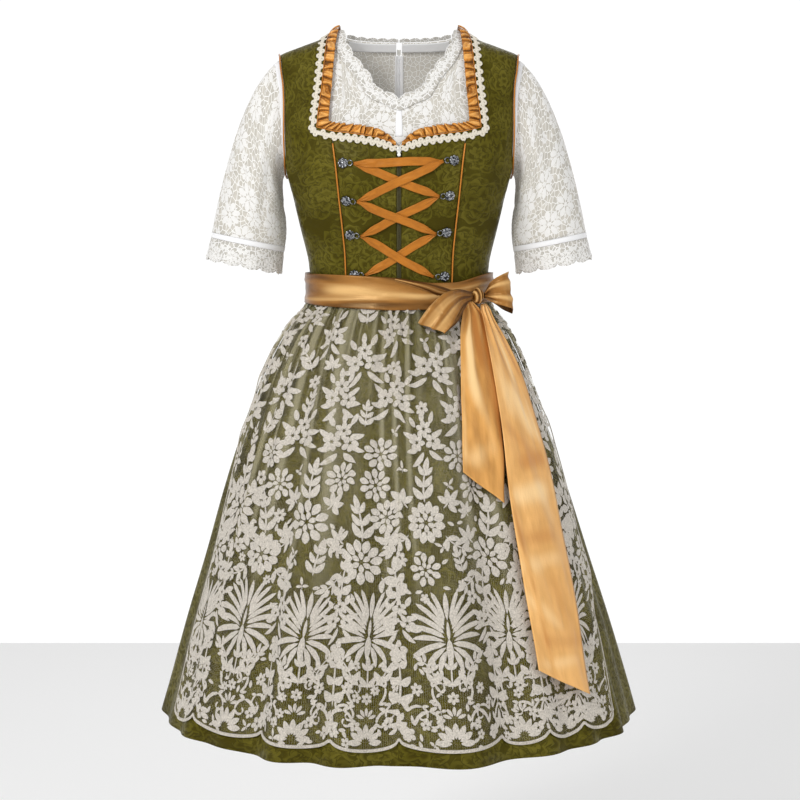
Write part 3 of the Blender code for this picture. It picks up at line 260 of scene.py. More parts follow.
def between(targets, keys, values):
    """Row by row, the value at a target key, by straight interpolation."""
    i = np.clip((keys < targets[..., None]).sum(-1), 1, keys.shape[-1] - 1)[..., None]
    a, b = np.take_along_axis(keys, i - 1, -1), np.take_along_axis(keys, i, -1)
    p, q = np.take_along_axis(values, i - 1, -1), np.take_along_axis(values, i, -1)
    t = np.clip((targets[..., None] - a) / np.maximum(b - a, 1e-9), 0, 1)
    return (p + (q - p) * t)[..., 0]


def height_at(x, level, side):
    run, z = shoulder_run(x, side)
    return np.where(level <= CHEST, level, between(run[..., -1] * (1 - level / CHEST), run, z))


def level_at(x, z, side):
    run, heights = shoulder_run(x, side)
    way = between(z, heights, run) / run[..., -1]
    return np.where(z <= CHEST, z, CHEST * (1 - way))


def on_body(x, level, side=FRONT, out=0.0):
    x, level, out = np.broadcast_arrays(*(np.asarray(a, float) for a in (x, level, out)))
    z = height_at(x, level, side)
    points = np.stack([x, body_depth(x, z, side), z], axis=-1)
    return points + outward(points) * out[..., None]


def across(start, end, share, level):
    """A width between two edges: by the angle round the body low down, evenly near the shoulder."""
    _, half, _, _, n = read_ring(np.minimum(level, CHEST))
    angles = [np.sign(x) * np.arcsin(np.minimum(np.abs(x) / half, 1) ** (n / 2)) for x in (start, end)]
    angle = mix(*angles, share)
    turned = half * np.sign(angle) * np.abs(np.sin(angle)) ** (2 / n)
    return mix(turned, mix(start, end, share), eased(level, -0.150, CHEST))


# %% The skirt's folds
FOLDS = (  # angle round the body, height at the hem and at the hip, half the spread
    (-90, 0.012, 0.004, 9), (-73, 0.004, 0.004, 8), (-59, 0.010, 0.005, 8), (-45, 0.004, 0.005, 7),
    (-27, 0.029, 0.006, 9), (-13, 0.027, 0.005, 9), (1, 0.003, 0.004, 6), (14, 0.040, 0.007, 13),
    (36, 0.014, 0.005, 9), (50, 0.010, 0.005, 8), (63, 0.014, 0.005, 8), (77, 0.003, 0.004, 7),
    (90, 0.012, 0.004, 9), (107, 0.018, 0.004, 8), (121, 0.014, 0.005, 8), (136, 0.026, 0.006, 9),
    (151, 0.016, 0.005, 8), (166, 0.028, 0.006, 9), (181, 0.018, 0.005, 8), (196, 0.026, 0.006, 9),
    (211, 0.014, 0.005, 8), (226, 0.024, 0.006, 9), (240, 0.016, 0.005, 8), (254, 0.020, 0.006, 9),
)  # fmt: skip
FOLD_TOP, FOLD_HIP = -0.406, -0.460


def fold_height(angle, z):
    grown = eased(z, FOLD_TOP, FOLD_HIP)
    down = np.clip((FOLD_HIP - z) / (FOLD_HIP - HEM), 0, 1) ** 1.2
    height = 0.0
    for place, hem, hip, spread in FOLDS:
        away = np.minimum(np.abs((angle - place + 180) % 360 - 180) / spread, 1)
        height = height + np.cos(math.pi / 2 * away) ** 2 * mix(hip * grown, hem, down)
    return height


def gathers(angle, z):
    """Small pleats that leave the waist seam and die out over the hip."""
    fade = eased(z, -0.56, -0.43)
    phase = 2 * math.pi * (angle / 5.5 + 0.35 * np.sin(angle / 7.3) + 0.2 * np.sin(angle / 2.9))
    slow = 0.4 + 0.6 * np.sin(angle / 11.0 + 1.0) ** 2
    return 0.0020 * fade * slow * np.cos(phase)


def girth(angle, z, out=0.0, folded=True):
    turn = np.radians(angle)
    left, right, front, back, n = read_ring(z)
    sine, cosine = np.sin(turn), np.cos(turn)
    half, depth = np.where(sine > 0, right, left), np.where(cosine > 0, front, back)
    x = half * np.sign(sine) * np.abs(sine) ** (2 / n)
    y = -depth * np.sign(cosine) * np.abs(cosine) ** (2 / n)
    points = np.stack(np.broadcast_arrays(x, y, z), axis=-1)
    lift = out + (fold_height(angle, z) + gathers(angle, z) if folded else 0.0)
    return points + outward(points) * np.broadcast_to(lift, x.shape)[..., None]


# %% [markdown]
# ## Cloth
#
# A piece of cloth is a grid of points: rows go up and columns go to the right, seen from outside.
# The grid knows its own measures, so a pattern or a stitched leaf can be laid on it in real
# millimetres and follows every fold. A Solidify modifier gives it the wall of the real cloth.


# %% The grid of a cloth
class Cloth:
    def __init__(self, points, tube=False):
        self.points, self.tube = np.asarray(points, float), tube
        grid = np.concatenate([self.points, self.points[:, :1]], axis=1) if tube else self.points
        self.grid = grid
        right, up = np.gradient(grid, axis=1), np.gradient(grid, axis=0)
        if tube:
            right[:, 0] = right[:, -1] = (grid[:, 1] - grid[:, -2]) / 2
        self.right, self.up = right, up
        normal = np.cross(right, up)
        self.normal = normal / np.maximum(np.linalg.norm(normal, axis=-1, keepdims=True), 1e-12)
        wide = np.linalg.norm(np.diff(grid, axis=1), axis=-1)
        tall = np.linalg.norm(np.diff(grid, axis=0), axis=-1)
        self.width, self.length = wide.sum(1).max(), tall.sum(0).max()
        self.u = np.concatenate([[0], np.cumsum(wide.mean(0))])
        self.v = np.concatenate([[0], np.cumsum(tall.mean(1))])

    def raised(self, height):
        """The same cloth with a relief along its normals."""
        normal = self.normal[:, :-1] if self.tube else self.normal
        return Cloth(self.points + normal * np.broadcast_to(height, normal.shape[:2])[..., None], self.tube)

    def sample(self, values, u, v):
        """Values of the grid at shares u across and v up."""
        rows, columns = values.shape[:2]
        if self.tube:
            u = np.mod(u, 1.0)
        a = np.clip(u, 0, 1) * (columns - 1)
        b = np.clip(v, 0, 1) * (rows - 1)
        i = np.minimum(a.astype(int), columns - 2)
        j = np.minimum(b.astype(int), rows - 2)
        s, t = (a - i)[..., None], (b - j)[..., None]
        low = values[j, i] * (1 - s) + values[j, i + 1] * s
        high = values[j + 1, i] * (1 - s) + values[j + 1, i + 1] * s
        return low * (1 - t) + high * t

    def at(self, u, v, height=0.0):
        u, v, height = np.broadcast_arrays(*(np.asarray(a, float) for a in (u, v, height)))
        return self.sample(self.grid, u, v) + self.sample(self.normal, u, v) * height[..., None]

    def scale(self, u, v):
        """How many metres one whole share across and one whole share up are here."""
        rows, columns = self.grid.shape[:2]
        across_here = np.linalg.norm(self.sample(self.right, u, v), axis=-1) * (columns - 1)
        up_here = np.linalg.norm(self.sample(self.up, u, v), axis=-1) * (rows - 1)
        return across_here, up_here


def grid_of(columns, rows, start=0.0, end=1.0):
    """Shares across and up, as two arrays of a whole grid."""
    return np.meshgrid(np.linspace(start, end, columns), np.linspace(0, 1, rows))


def crease(cloth, table):
    """Relief from soft ridges and troughs: each has a centre, a heading, half a length, a width, a height."""
    x, y = np.meshgrid(cloth.u, cloth.v)
    if cloth.tube:
        x, y = x[:, :-1], y[:, :-1]
    height = np.zeros_like(x)
    for u, v, heading, long, wide, high in table:
        dx, dy = x - u * cloth.u[-1], y - v * cloth.v[-1]
        turn = math.radians(heading)
        along = (dx * math.cos(turn) + dy * math.sin(turn)) / long
        aside = (dy * math.cos(turn) - dx * math.sin(turn)) / wide
        height += high * np.exp(-(aside**2) - along**4)
    return height


# %% From a grid to a finished piece
def add_piece(name, mesh, material, nodes=(), body=GARMENT):
    item = bpy.data.objects.new(name + "_fine" if nodes else name, mesh)
    bpy.context.scene.collection.objects.link(item)
    mesh.materials.clear()
    mesh.materials.append(material)
    mesh.shade_smooth()
    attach(item, body)
    if nodes:
        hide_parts(*nodes)
    return item


def add_sheet(name, cloth, material, slot, nodes=None, wall=0.0012, held="stretched", more=(), tone=None):
    """It replaces the node of its own name where nodes doesn't say otherwise. tone is painted light: -1
    paints the shade in a fold and 1 a highlight on its crest, for the materials that read it."""
    rows, columns = cloth.points.shape[:2]
    faces, corners = [], []
    wide = len(cloth.u) - 1
    for j in range(rows - 1):
        for i in range(wide):
            k = (i + 1) % columns
            faces.append((j * columns + i, j * columns + k, (j + 1) * columns + k, (j + 1) * columns + i))
            corners += [(i, j), (i + 1, j), (i + 1, j + 1), (i, j + 1)]
    mesh = bpy.data.meshes.new(name)
    mesh.from_pydata(cloth.points.reshape(-1, 3), [], faces)
    places = np.array(corners)
    layer = mesh.uv_layers.new(name="measure")
    flat_places = np.stack([cloth.u[places[:, 0]], cloth.v[places[:, 1]]], axis=1)
    layer.data.foreach_set("uv", flat_places.astype(np.float32).ravel())
    if tone is not None:
        shades = mesh.attributes.new("fold", "FLOAT", "POINT")
        shades.data.foreach_set("value", np.broadcast_to(tone, (rows, columns)).astype(np.float32).ravel())
    if more:
        sew_on(mesh, more)
    item = add_piece(name, mesh, material, [name] if nodes is None else nodes)
    thick = item.modifiers.new("wall", "SOLIDIFY")
    thick.thickness, thick.offset = wall, -1.0
    # A strip narrower than 10 mm is cut that wide and turned in, so only its shown area counts.
    return item


def sew_on(mesh, more):
    """Adds further grids to a mesh, merged along their common edges."""
    shape = bmesh.new()
    shape.from_mesh(mesh)
    layer = shape.loops.layers.uv["measure"]
    for cloth, shift in more:
        rows, columns = cloth.points.shape[:2]
        verts = [shape.verts.new(point) for point in cloth.points.reshape(-1, 3)]
        for j in range(rows - 1):
            for i in range(columns - 1):
                corners = ((i, j), (i + 1, j), (i + 1, j + 1), (i, j + 1))
                face = shape.faces.new([verts[b * columns + a] for a, b in corners])
                for loop, (a, b) in zip(face.loops, corners):
                    loop[layer].uv = (cloth.u[a] + shift[0], cloth.v[b] + shift[1])
    bmesh.ops.remove_doubles(shape, verts=shape.verts, dist=0.00002)
    shape.to_mesh(mesh)
    shape.free()


def add_pair(prefix, cloth, material, slot, **settings):
    """A sheet for the right side of the body and its mirror image for the left."""
    pair = {"right": cloth, "left": flipped(cloth)}
    for name, one in pair.items():
        add_sheet(prefix + name, one, material, slot, **settings)
    return pair


def sum_area(mesh):
    return float(sum(face.area for face in mesh.polygons))


def flipped(cloth):
    """The mirror image of a cloth, for the other side of the body."""
    points = cloth.points[:, ::-1] * (-1, 1, 1)
    if cloth.tube:
        points = np.roll(points, 1, axis=1)
    return Cloth(points, cloth.tube)

# %% [markdown]
# ## Materials
#
# Every cloth has its measures in metres as its UV map, so one unit of a pattern is one real metre.
# One small function adds any shader node, and each material is built with it.


# %% Nodes
def new_material(name, **inputs):
    """A material and its tree. Underscores in a keyword stand for the spaces of a socket's name."""
    material = bpy.data.materials.new(name)
    material.use_nodes = True
    shader = material.node_tree.nodes["Principled BSDF"]
    for key, value in inputs.items():
        shader.inputs[key.replace("_", " ")].default_value = value
    return material, material.node_tree, shader


def math_node(tree, operation, *values, clamp=False):
    return add_node(tree, "Math", dict(enumerate(values)), operation=operation, use_clamp=clamp).outputs[0]


def times(tree, *values):
    return math_node(tree, "MULTIPLY", *values)


def plus(tree, *values, clamp=False):
    return math_node(tree, "ADD", *values, clamp=clamp)


def minus(tree, first, second):
    return math_node(tree, "SUBTRACT", first, second)


def noise(tree, place, scale, detail):
    inputs = {"Vector": place, "Scale": scale, "Detail": detail}
    return add_node(tree, "TexNoise", inputs).outputs["Fac"]


def blend(tree, factor, first, second):
    node = add_node(tree, "Mix", {0: factor, 6: first, 7: second}, data_type="RGBA")
    return node.outputs[2]


def stepped(tree, value, low, high):
    """0 below low, 1 above high, smooth between them."""
    settings = {"Value": value, "From Min": low, "From Max": high}
    return add_node(tree, "MapRange", settings, interpolation_type="SMOOTHSTEP").outputs[0]


def measures(tree, scale=(1, 1, 1)):
    """The cloth's own metres, stretched for a pattern."""
    place = add_node(tree, "TexCoord").outputs["UV"]
    return add_node(tree, "Mapping", {"Vector": place, "Scale": scale}).outputs[0]


def add_bump(tree, shader, height, depth):
    bump = add_node(tree, "Bump", {"Height": height, "Distance": depth, "Strength": 1.0})
    tree.links.new(bump.outputs[0], shader.inputs["Normal"])


def weave(tree, pitch):
    """Crossing threads at one pitch in metres."""
    waves = []
    for direction in ("X", "Y"):
        inputs = {"Vector": measures(tree), "Scale": 1 / (pitch * 20), "Distortion": 0.4}
        waves.append(add_node(tree, "TexWave", inputs, bands_direction=direction).outputs["Fac"])
    return times(tree, *waves)


# %% Jacquard: blossoms with fine outlines, tone on tone, their sheen and shade painted into the colour
def blossoms(tree, cell, petals, rings, seed):
    """Round each cell's middle: a ramp across each ring of petals, dark on its inner side and light toward
    its rim as painted shade and highlight, and 1 on the fine lines that run inside it.
    """
    wavy = add_node(tree, "TexNoise", {"Vector": measures(tree), "Scale": 1.3 / cell, "Detail": 2.0})
    place = add_node(tree, "VectorMath", {0: wavy.outputs["Color"], 1: (0.5, 0.5, 0.5)}, operation="SUBTRACT")
    shift = add_node(tree, "VectorMath", {0: place.outputs[0], 3: 0.55}, operation="SCALE").outputs[0]
    spread = measures(tree, (1 / cell, 1 / cell, 1))
    spread = add_node(tree, "VectorMath", {0: spread, 1: shift}).outputs[0]
    spread = add_node(tree, "VectorMath", {0: spread, 1: (seed, seed * 0.7, 0)}).outputs[0]
    inputs = {"Vector": spread, "Scale": 1.0, "Randomness": 0.8}
    cells = add_node(tree, "TexVoronoi", inputs, voronoi_dimensions="2D")
    away = add_node(tree, "VectorMath", {0: spread, 1: cells.outputs["Position"]}, operation="SUBTRACT")
    x, y, _ = add_node(tree, "SeparateXYZ", {0: away.outputs[0]}).outputs
    hue = add_node(tree, "SeparateColor", {0: cells.outputs["Color"]}).outputs[0]
    angle = times(tree, math_node(tree, "ARCTAN2", y, x), float(petals))
    twist = times(tree, cells.outputs["Distance"], 3.0)
    angle = plus(tree, plus(tree, angle, twist), times(tree, hue, 20.0))
    # A petal is round outside and meets the next one in a sharp notch. The rings' petals alternate.
    whorl = math_node(tree, "FLOOR", times(tree, cells.outputs["Distance"], rings))
    angle = plus(tree, angle, times(tree, whorl, math.pi / 2))
    notch = math_node(tree, "ABSOLUTE", math_node(tree, "SINE", times(tree, angle, 0.5)))
    swell = minus(tree, 1.34, times(tree, notch, 0.46))
    reach = times(tree, cells.outputs["Distance"], swell)
    inside = math_node(tree, "FRACT", times(tree, reach, rings))
    shape = stepped(tree, reach, 0.60, 0.52)
    light = times(tree, stepped(tree, inside, 0.10, 0.55), shape)
    rim = times(tree, stepped(tree, inside, 0.84, 0.93), shape)
    return light, rim


def make_jacquard():
    # The raised floats shine and the ground is matt, so the same thread shows in two close tones. That shine
    # is painted into the colour: the lighter raised tone and the ramp in each petal are painted highlight and
    # shade, the cloudy patches are painted sheen, and the dark outlines mark the figure's edges and paint
    # the shade along them.
    jacquard, tree, shader = new_material("olive cotton jacquard", Specular_IOR_Level=0.05)
    large, large_lines = blossoms(tree, 0.058, 6, 5.6, 0.0)
    small, small_lines = blossoms(tree, 0.031, 5, 4.1, 3.7)
    shape = math_node(tree, "MAXIMUM", times(tree, large, 0.9), times(tree, small, 0.55))
    lines = math_node(tree, "MAXIMUM", large_lines, times(tree, small_lines, 0.8))
    painted_sheen_patches = noise(tree, measures(tree), 16.0, 3.0)
    painted_sheen_patches = stepped(tree, painted_sheen_patches, 0.32, 0.68)
    ground = blend(tree, painted_sheen_patches, linear("#423a0a"), linear("#4c4510"))
    raised = blend(tree, painted_sheen_patches, linear("#575014"), linear("#6c6424"))
    tone = blend(tree, shape, ground, raised)
    outline = times(tree, lines, 0.62)
    tree.links.new(blend(tree, outline, tone, linear("#2c2606")), shader.inputs["Base Color"])
    gloss = minus(tree, 0.52, times(tree, shape, 0.18))
    tree.links.new(gloss, shader.inputs["Roughness"])
    threads = times(tree, weave(tree, 0.0011), 0.30)
    relief = minus(tree, shape, lines)
    add_bump(tree, shader, plus(tree, relief, threads), 0.00030)
    return jacquard


def make_satin(name, colour, deep, crest, painted_pit_shade, gloss=0.30, streak=(9, 30, 1), depth=0.5):
    # Long floats all lie one way, so the highlight is broad. Painted shade darkens the colour in soft
    # noise streaks, toward grazing angles and in the pits of the fold attribute, and a painted highlight
    # lightens its crests.
    satin, tree, shader = new_material(name, Specular_IOR_Level=0.7, Specular_Tint=linear("#f6cf96"))
    soft = noise(tree, measures(tree, streak), 1.0, 2.0)
    fine = noise(tree, measures(tree, streak), 4.0, 2.0)
    both = plus(tree, times(tree, soft, 0.7), times(tree, fine, 0.3))
    shade = times(tree, stepped(tree, both, 0.58, 0.36), depth)
    facing = add_node(tree, "LayerWeight", {"Blend": 0.40}).outputs["Facing"]
    tone = blend(tree, facing, linear(colour), linear(deep))
    tone = blend(tree, shade, tone, linear(deep))
    fold = add_node(tree, "Attribute", attribute_name="fold").outputs["Fac"]
    tone = blend(tree, stepped(tree, fold, 0.0, 1.0), tone, linear(crest))
    tone = blend(tree, stepped(tree, fold, 0.0, -1.0), tone, linear(painted_pit_shade))
    tree.links.new(tone, shader.inputs["Base Color"])
    rough = plus(tree, gloss, times(tree, shade, 0.14))
    tree.links.new(rough, shader.inputs["Roughness"])
    height = plus(tree, soft, times(tree, fine, 0.22))
    threads = times(tree, weave(tree, 0.0006), 0.01)
    add_bump(tree, shader, plus(tree, height, threads), 0.0045)
    return satin


def make_thread(name, colour, dark, rough, scale=1500.0, depth=0.00010, painted_glow=0.0):
    # Object coordinates give twisted thread a fine grain wherever a stitch turns.
    # glow is painted light: an emission that brightens the thread where it lies in shade.
    looks = {"Emission_Color": linear(colour), "Emission_Strength": painted_glow}
    thread, tree, shader = new_material(name, Roughness=rough, Sheen_Weight=0.2, **looks)
    place = add_node(tree, "TexCoord").outputs["Object"]
    grain = noise(tree, place, scale, 1.0)
    tree.links.new(blend(tree, grain, linear(dark), linear(colour)), shader.inputs["Base Color"])
    add_bump(tree, shader, grain, depth)
    return thread


def make_silver():
    # Cast silver: the colour is dark on the low edges of small random cells of the bump and light on their
    # raised middles.
    silver, tree, shader = new_material("antique silver", Metallic=1.0, Roughness=0.30)
    place = add_node(tree, "TexCoord").outputs["Object"]
    grain = add_node(tree, "TexVoronoi", {"Vector": place, "Scale": 420.0}).outputs["Distance"]
    tone = blend(tree, stepped(tree, grain, 0.25, 0.75), linear("#a9abae"), linear("#34363a"))
    tree.links.new(tone, shader.inputs["Base Color"])
    add_bump(tree, shader, minus(tree, 1.0, grain), 0.0003)
    return silver


# %% Net: threads round small cells, with open holes
def make_net(
    name, colour, veil_colour, cell, thread, hole, cloud, cloud_size, gathered=0.0, painted_glow=0.0, uneven=0.35
):
    """hole is how much of the ground shows as cloth inside a cell, cloud how much it thickens in patches,
    gathered how much more where the fold attribute is high: doubled tulle on narrow crests and painted
    highlight in broad bands."""
    # glow is painted light: an emission that brightens the net where it lies in shade, and stands for the
    # light that comes through the thin threads from behind.
    looks = {"Emission_Color": linear(colour), "Emission_Strength": painted_glow}
    net, tree, shader = new_material(name, Roughness=0.8, **looks)
    inputs = {"Vector": measures(tree, (1 / cell, 1.15 / cell, 1)), "Scale": 1.0, "Randomness": uneven}
    edges = add_node(tree, "TexVoronoi", inputs, feature="DISTANCE_TO_EDGE", voronoi_dimensions="2D")
    inside = stepped(tree, edges.outputs["Distance"], thread, thread * 1.6 + 0.01)
    patchy = noise(tree, measures(tree), 1 / cloud_size, 1.5)
    patch = times(tree, stepped(tree, patchy, 0.45, 0.6), cloud)
    veil = plus(tree, patch, hole, clamp=True)
    if gathered:
        fold = add_node(tree, "Attribute", attribute_name="fold").outputs["Fac"]
        crests = times(tree, stepped(tree, fold, 0.0, 1.0), gathered)
        veil = plus(tree, veil, crests, clamp=True)
    tree.links.new(blend(tree, inside, linear(colour), linear(veil_colour)), shader.inputs["Base Color"])
    holes = times(tree, inside, minus(tree, 1.0, veil))
    tree.links.new(minus(tree, 1.0, holes), shader.inputs["Alpha"])
    return net


JACQUARD = make_jacquard()
# Each satin: its colour, the painted shade of its streaks and grazing edges, the painted highlight on fold
# crests and the painted shade in fold pits.
SATIN = make_satin("amber satin", "#a67136", "#6b4117", "#e6b878", "#4c2a0c")
# Sash, loops, knot and ends are one satin. The hanging ends get a lighter copy and the long end a lighter one
# still, as painted light.
TAIL_SATIN = make_satin(
    "amber satin of the hanging ends", "#ecae62", "#a06a30", "#ffd79a", "#b9783a", streak=(26, 8, 1)
)
LONG_SATIN = make_satin(
    "amber satin of the long end", "#fdc47c", "#bd8544", "#ffd79c", "#d09050", streak=(26, 8, 1), depth=0.35
)
FRILL_SATIN = make_satin(
    "orange satin of the frill", "#d98a33", "#6e3a0c", "#f7b866", "#4a2404", 0.26, (60, 60, 1), 0.7
)
RIBBON_SATIN = make_satin(
    "orange satin ribbon", "#bd7324", "#8a4c12", "#d99a4c", "#6b3a0c", 0.42, (20, 60, 1), 0.35
)
BRAID_THREAD = make_thread("cream cotton braid", "#eee8da", "#cfc5b0", 0.85)
# The last numbers of the lace cord and of the white cotton are their painted glow, which brightens them in
# shade, as inside the blouse's back.
LACE_THREAD = make_thread("white lace cord", "#f4f3f1", "#dddbd6", 0.75, 1500.0, 0.00012, 0.03)
COTTON = make_thread("white cotton", "#f4f4f5", "#e9e9ea", 0.85, 900.0, 0.00004, 0.06)
# The embroidery thread's strong grain is partly the twist of its thread and partly painted glints and shade
# of the silver in it.
EMBROIDERY = make_thread("silver beige embroidery thread", "#efe7db", "#8a8275", 0.60, 520.0, 0.00030)
# Cells of the real tulle and lace ground are near 1 mm: both are drawn coarser so that they still show.
TULLE = make_net("beige tulle", "#c4bb9f", "#c2ba98", 0.0024, 0.006, 0.0, 0.02, 0.030, 0.30)
# The beige grey of the lace grounds is partly their own colour and partly painted shade, standing for the
# layers seen through the fine net.
LACE_NET = make_net(
    "white lace ground", "#f0efec", "#cbc6bb", 0.0088, 0.042, 0.74, 0.15, 0.014, painted_glow=0.07, uneven=0.95
)
EDGING_NET = make_net(
    "white lace edging ground", "#f2f1ef", "#c9c5bc", 0.0078, 0.055, 0.66, 0.25, 0.009, painted_glow=0.05,
    uneven=0.95
)
SILVER = make_silver()
ENAMEL, _, _ = new_material("white enamel", Base_Color=linear("#ecebe6"), Roughness=0.3)
ZIP_TAPE = make_thread("woven zip tape", "#4f4a22", "#39340f", 0.85)
ZIP_TEETH, _, _ = new_material("dark nylon zip teeth", Base_Color=linear("#423d1c"), Roughness=0.5)
print("materials", len(bpy.data.materials))

# %% [markdown]
# ## Bodice
#
# The dress's top is cut in panels so that it fits without stretching: two by the lacing, two at the
# sides and one back. Each edge is a short table of widths at levels, and a panel is a grid between
# two edges. A worn bodice pulls from the bust to the waist, so soft creases are laid on one by one.

# %% Edges of the panels
PRINCESS = (
    (-0.1590, 0.0960), (-0.2076, 0.0895), (-0.2575, 0.0845), (-0.3011, 0.0800),
    (-0.3370, 0.0770), (-0.3870, 0.0755),
)  # fmt: skip
ARMHOLE = (
    (0.0000, 0.1755), (-0.0600, 0.1705), (-0.0920, 0.1664), (-0.1300, 0.1650),
    (-0.1660, 0.1650), (-0.1950, 0.1645), (-0.2120, 0.1648), (ARMPIT, 0.1640),
)  # fmt: skip
Stop = namedtuple("Stop", "edge_x edge_level frill_x frill_level braid_x braid_level")
FRONT_NECK = (
    Stop(0.1016, -0.0012, 0.0862, -0.0012, 0.1142, -0.0012),
    Stop(0.1050, -0.0400, 0.0905, -0.0380, 0.1178, -0.0415),
    Stop(0.1078, -0.0700, 0.0935, -0.0680, 0.1202, -0.0715),
    Stop(0.1110, -0.1000, 0.0962, -0.0980, 0.1235, -0.1020),
    Stop(0.1150, -0.1310, 0.0990, -0.1290, 0.1275, -0.1345),
    Stop(0.1165, -0.1530, 0.0998, -0.1455, 0.1300, -0.1635),
    Stop(0.0920, -0.1592, 0.0850, -0.1478, 0.0985, -0.1728),
    Stop(0.0610, -0.1632, 0.0580, -0.1502, 0.0650, -0.1762),
    Stop(0.0300, -0.1682, 0.0305, -0.1558, 0.0330, -0.1812),
    Stop(0.0130, -0.1742, 0.0150, -0.1640, 0.0155, -0.1862),
    Stop(0.0036, -0.1800, 0.0045, -0.1745, 0.0046, -0.1895),
)
FRONT_CORNER = 5
BACK_NECK = (
    Stop(0.1016, -0.0012, 0.0862, -0.0012, 0.1142, -0.0012),
    Stop(0.0992, -0.0500, 0.0845, -0.0450, 0.1116, -0.0520),
    Stop(0.0930, -0.0900, 0.0790, -0.0800, 0.1030, -0.0980),
    Stop(0.0755, -0.1060, 0.0660, -0.0920, 0.0820, -0.1175),
    Stop(0.0527, -0.1120, 0.0480, -0.0970, 0.0550, -0.1245),
    Stop(0.0263, -0.1155, 0.0240, -0.1000, 0.0270, -0.1280),
    Stop(0.0000, -0.1160, 0.0000, -0.1005, 0.0000, -0.1285),
)
BACK_CORNER = 2
ZIP_EDGE = 0.0035
read_princess, read_armhole = reader(PRINCESS), reader(ARMHOLE)
read_neck_side = reader([(s.edge_level, s.edge_x) for s in FRONT_NECK[: FRONT_CORNER + 1]])
read_neck_front = reader([(s.edge_x, s.edge_level) for s in FRONT_NECK[FRONT_CORNER:]])
read_back_side = reader([(s.edge_level, s.edge_x) for s in BACK_NECK[: BACK_CORNER + 1]])
read_back_base = reader([(s.edge_x, s.edge_level) for s in BACK_NECK[BACK_CORNER:]])


def outer_x(level, margin=0.0, armpit=ARMPIT):
    """The side seam below the armpit and the armhole's edge above it."""
    level = np.asarray(level, float)
    side = read_ring(np.minimum(level, CHEST))[1]
    hole = read_armhole(level)[0] + margin
    return np.where(level <= armpit, side, np.where(level < CHEST, np.minimum(hole, side), hole))


def inner_x(level):
    """The princess seam, the step under the square corner, then the side of the neckline."""
    step, corner = PRINCESS[0][0], FRONT_NECK[FRONT_CORNER].edge_level
    low = read_princess(level)[0] + SEAM
    high = read_neck_side(level)[0]
    share = np.clip((level - step) / (corner - step), 0, 1)
    middle = mix(PRINCESS[0][1] + SEAM, FRONT_NECK[FRONT_CORNER].edge_x, share)
    return np.where(level <= step, low, np.where(level >= corner, high, middle))


def stacked(*stops_and_counts):
    """Even steps between stops: (stop, count, stop, count, stop)."""
    parts = []
    for a, n, b in zip(stops_and_counts[::2], stops_and_counts[1::2], stops_and_counts[2::2]):
        parts.append(np.linspace(a, b, n, endpoint=False))
    return np.concatenate([*parts, [stops_and_counts[-1]]])


# %% Front panels
share, up = grid_of(34, 58)
top = read_neck_front(mix(ZIP_EDGE, PRINCESS[0][1] - SEAM, share))[0]
level = mix(WAIST + SEAM, top, up)
centre = Cloth(on_body(mix(ZIP_EDGE, read_princess(level)[0] - SEAM, share), level))
CENTRE_CREASES = (  # place across and up, heading, half the length, width, height
    (0.55, 0.06, 12, 0.030, 0.0045, 0.0016), (0.40, 0.13, -18, 0.026, 0.0040, -0.0014),
    (0.65, 0.20, 20, 0.024, 0.0040, 0.0015), (0.30, 0.27, -26, 0.026, 0.0045, 0.0014),
    (0.60, 0.34, 24, 0.028, 0.0050, -0.0014), (0.35, 0.44, -14, 0.030, 0.0055, 0.0013),
    (0.70, 0.52, 10, 0.022, 0.0050, -0.0012), (0.60, 0.64, 15, 0.028, 0.0060, 0.0013),
    (0.30, 0.72, -22, 0.022, 0.0055, -0.0011), (0.50, 0.86, -10, 0.030, 0.0060, 0.0011),
)  # fmt: skip
centre = centre.raised(crease(centre, CENTRE_CREASES))
add_pair("bodice_front_centre_", centre, JACQUARD, "olive_jacquard")

step, corner = PRINCESS[0][0], FRONT_NECK[FRONT_CORNER].edge_level
levels = stacked(WAIST + SEAM, 44, step, 4, corner, 32, 0.0)
share, level = np.meshgrid(np.linspace(0, 1, 28), levels)
side = Cloth(on_body(across(inner_x(level), outer_x(level), share, level), level))
SIDE_CREASES = (
    (0.55, 0.04, 20, 0.030, 0.0050, 0.0012), (0.60, 0.12, -12, 0.034, 0.0050, -0.0011),
    (0.45, 0.20, 28, 0.030, 0.0060, 0.0011), (0.75, 0.30, 36, 0.030, 0.0070, -0.0011),
    (0.80, 0.42, 50, 0.036, 0.0070, 0.0014), (0.55, 0.47, 62, 0.030, 0.0080, -0.0009),
    (0.75, 0.57, 70, 0.032, 0.0080, 0.0010), (0.40, 0.74, 78, 0.040, 0.0080, -0.0008),
)  # fmt: skip
side = side.raised(1.5 * crease(side, SIDE_CREASES))
add_pair("bodice_front_side_", side, JACQUARD, "olive_jacquard")


# %% Back panel: whole rows up to the corners of the neckline, then a strap on each side
back_corner = BACK_NECK[BACK_CORNER]
strap = float(back_corner.edge_x / outer_x(back_corner.edge_level))
half = stacked(0.0, 20, strap, 12, 1.0)
shares = np.concatenate([-half[::-1], half[1:]])[::-1]
BACK_EVEN, BACK_SHARE, STRAP_COLUMNS = -0.155, 0.78, 13
share, up = np.meshgrid(shares, stacked(0.0, 44, BACK_SHARE, 14, 1.0))
size = np.abs(share)
rise = np.clip((up - BACK_SHARE) / (1 - BACK_SHARE), 0, 1)
base = read_back_base(np.minimum(size / strap, 1) * back_corner.edge_x)[0]
top = np.where(size < strap, base, back_corner.edge_level)
even = mix(WAIST + SEAM, BACK_EVEN, up / BACK_SHARE)
level = np.where(up < BACK_SHARE, even, mix(BACK_EVEN, top, rise))
back = Cloth(on_body(np.sign(share) * across(0.0, outer_x(level), size, level), level, BACK))
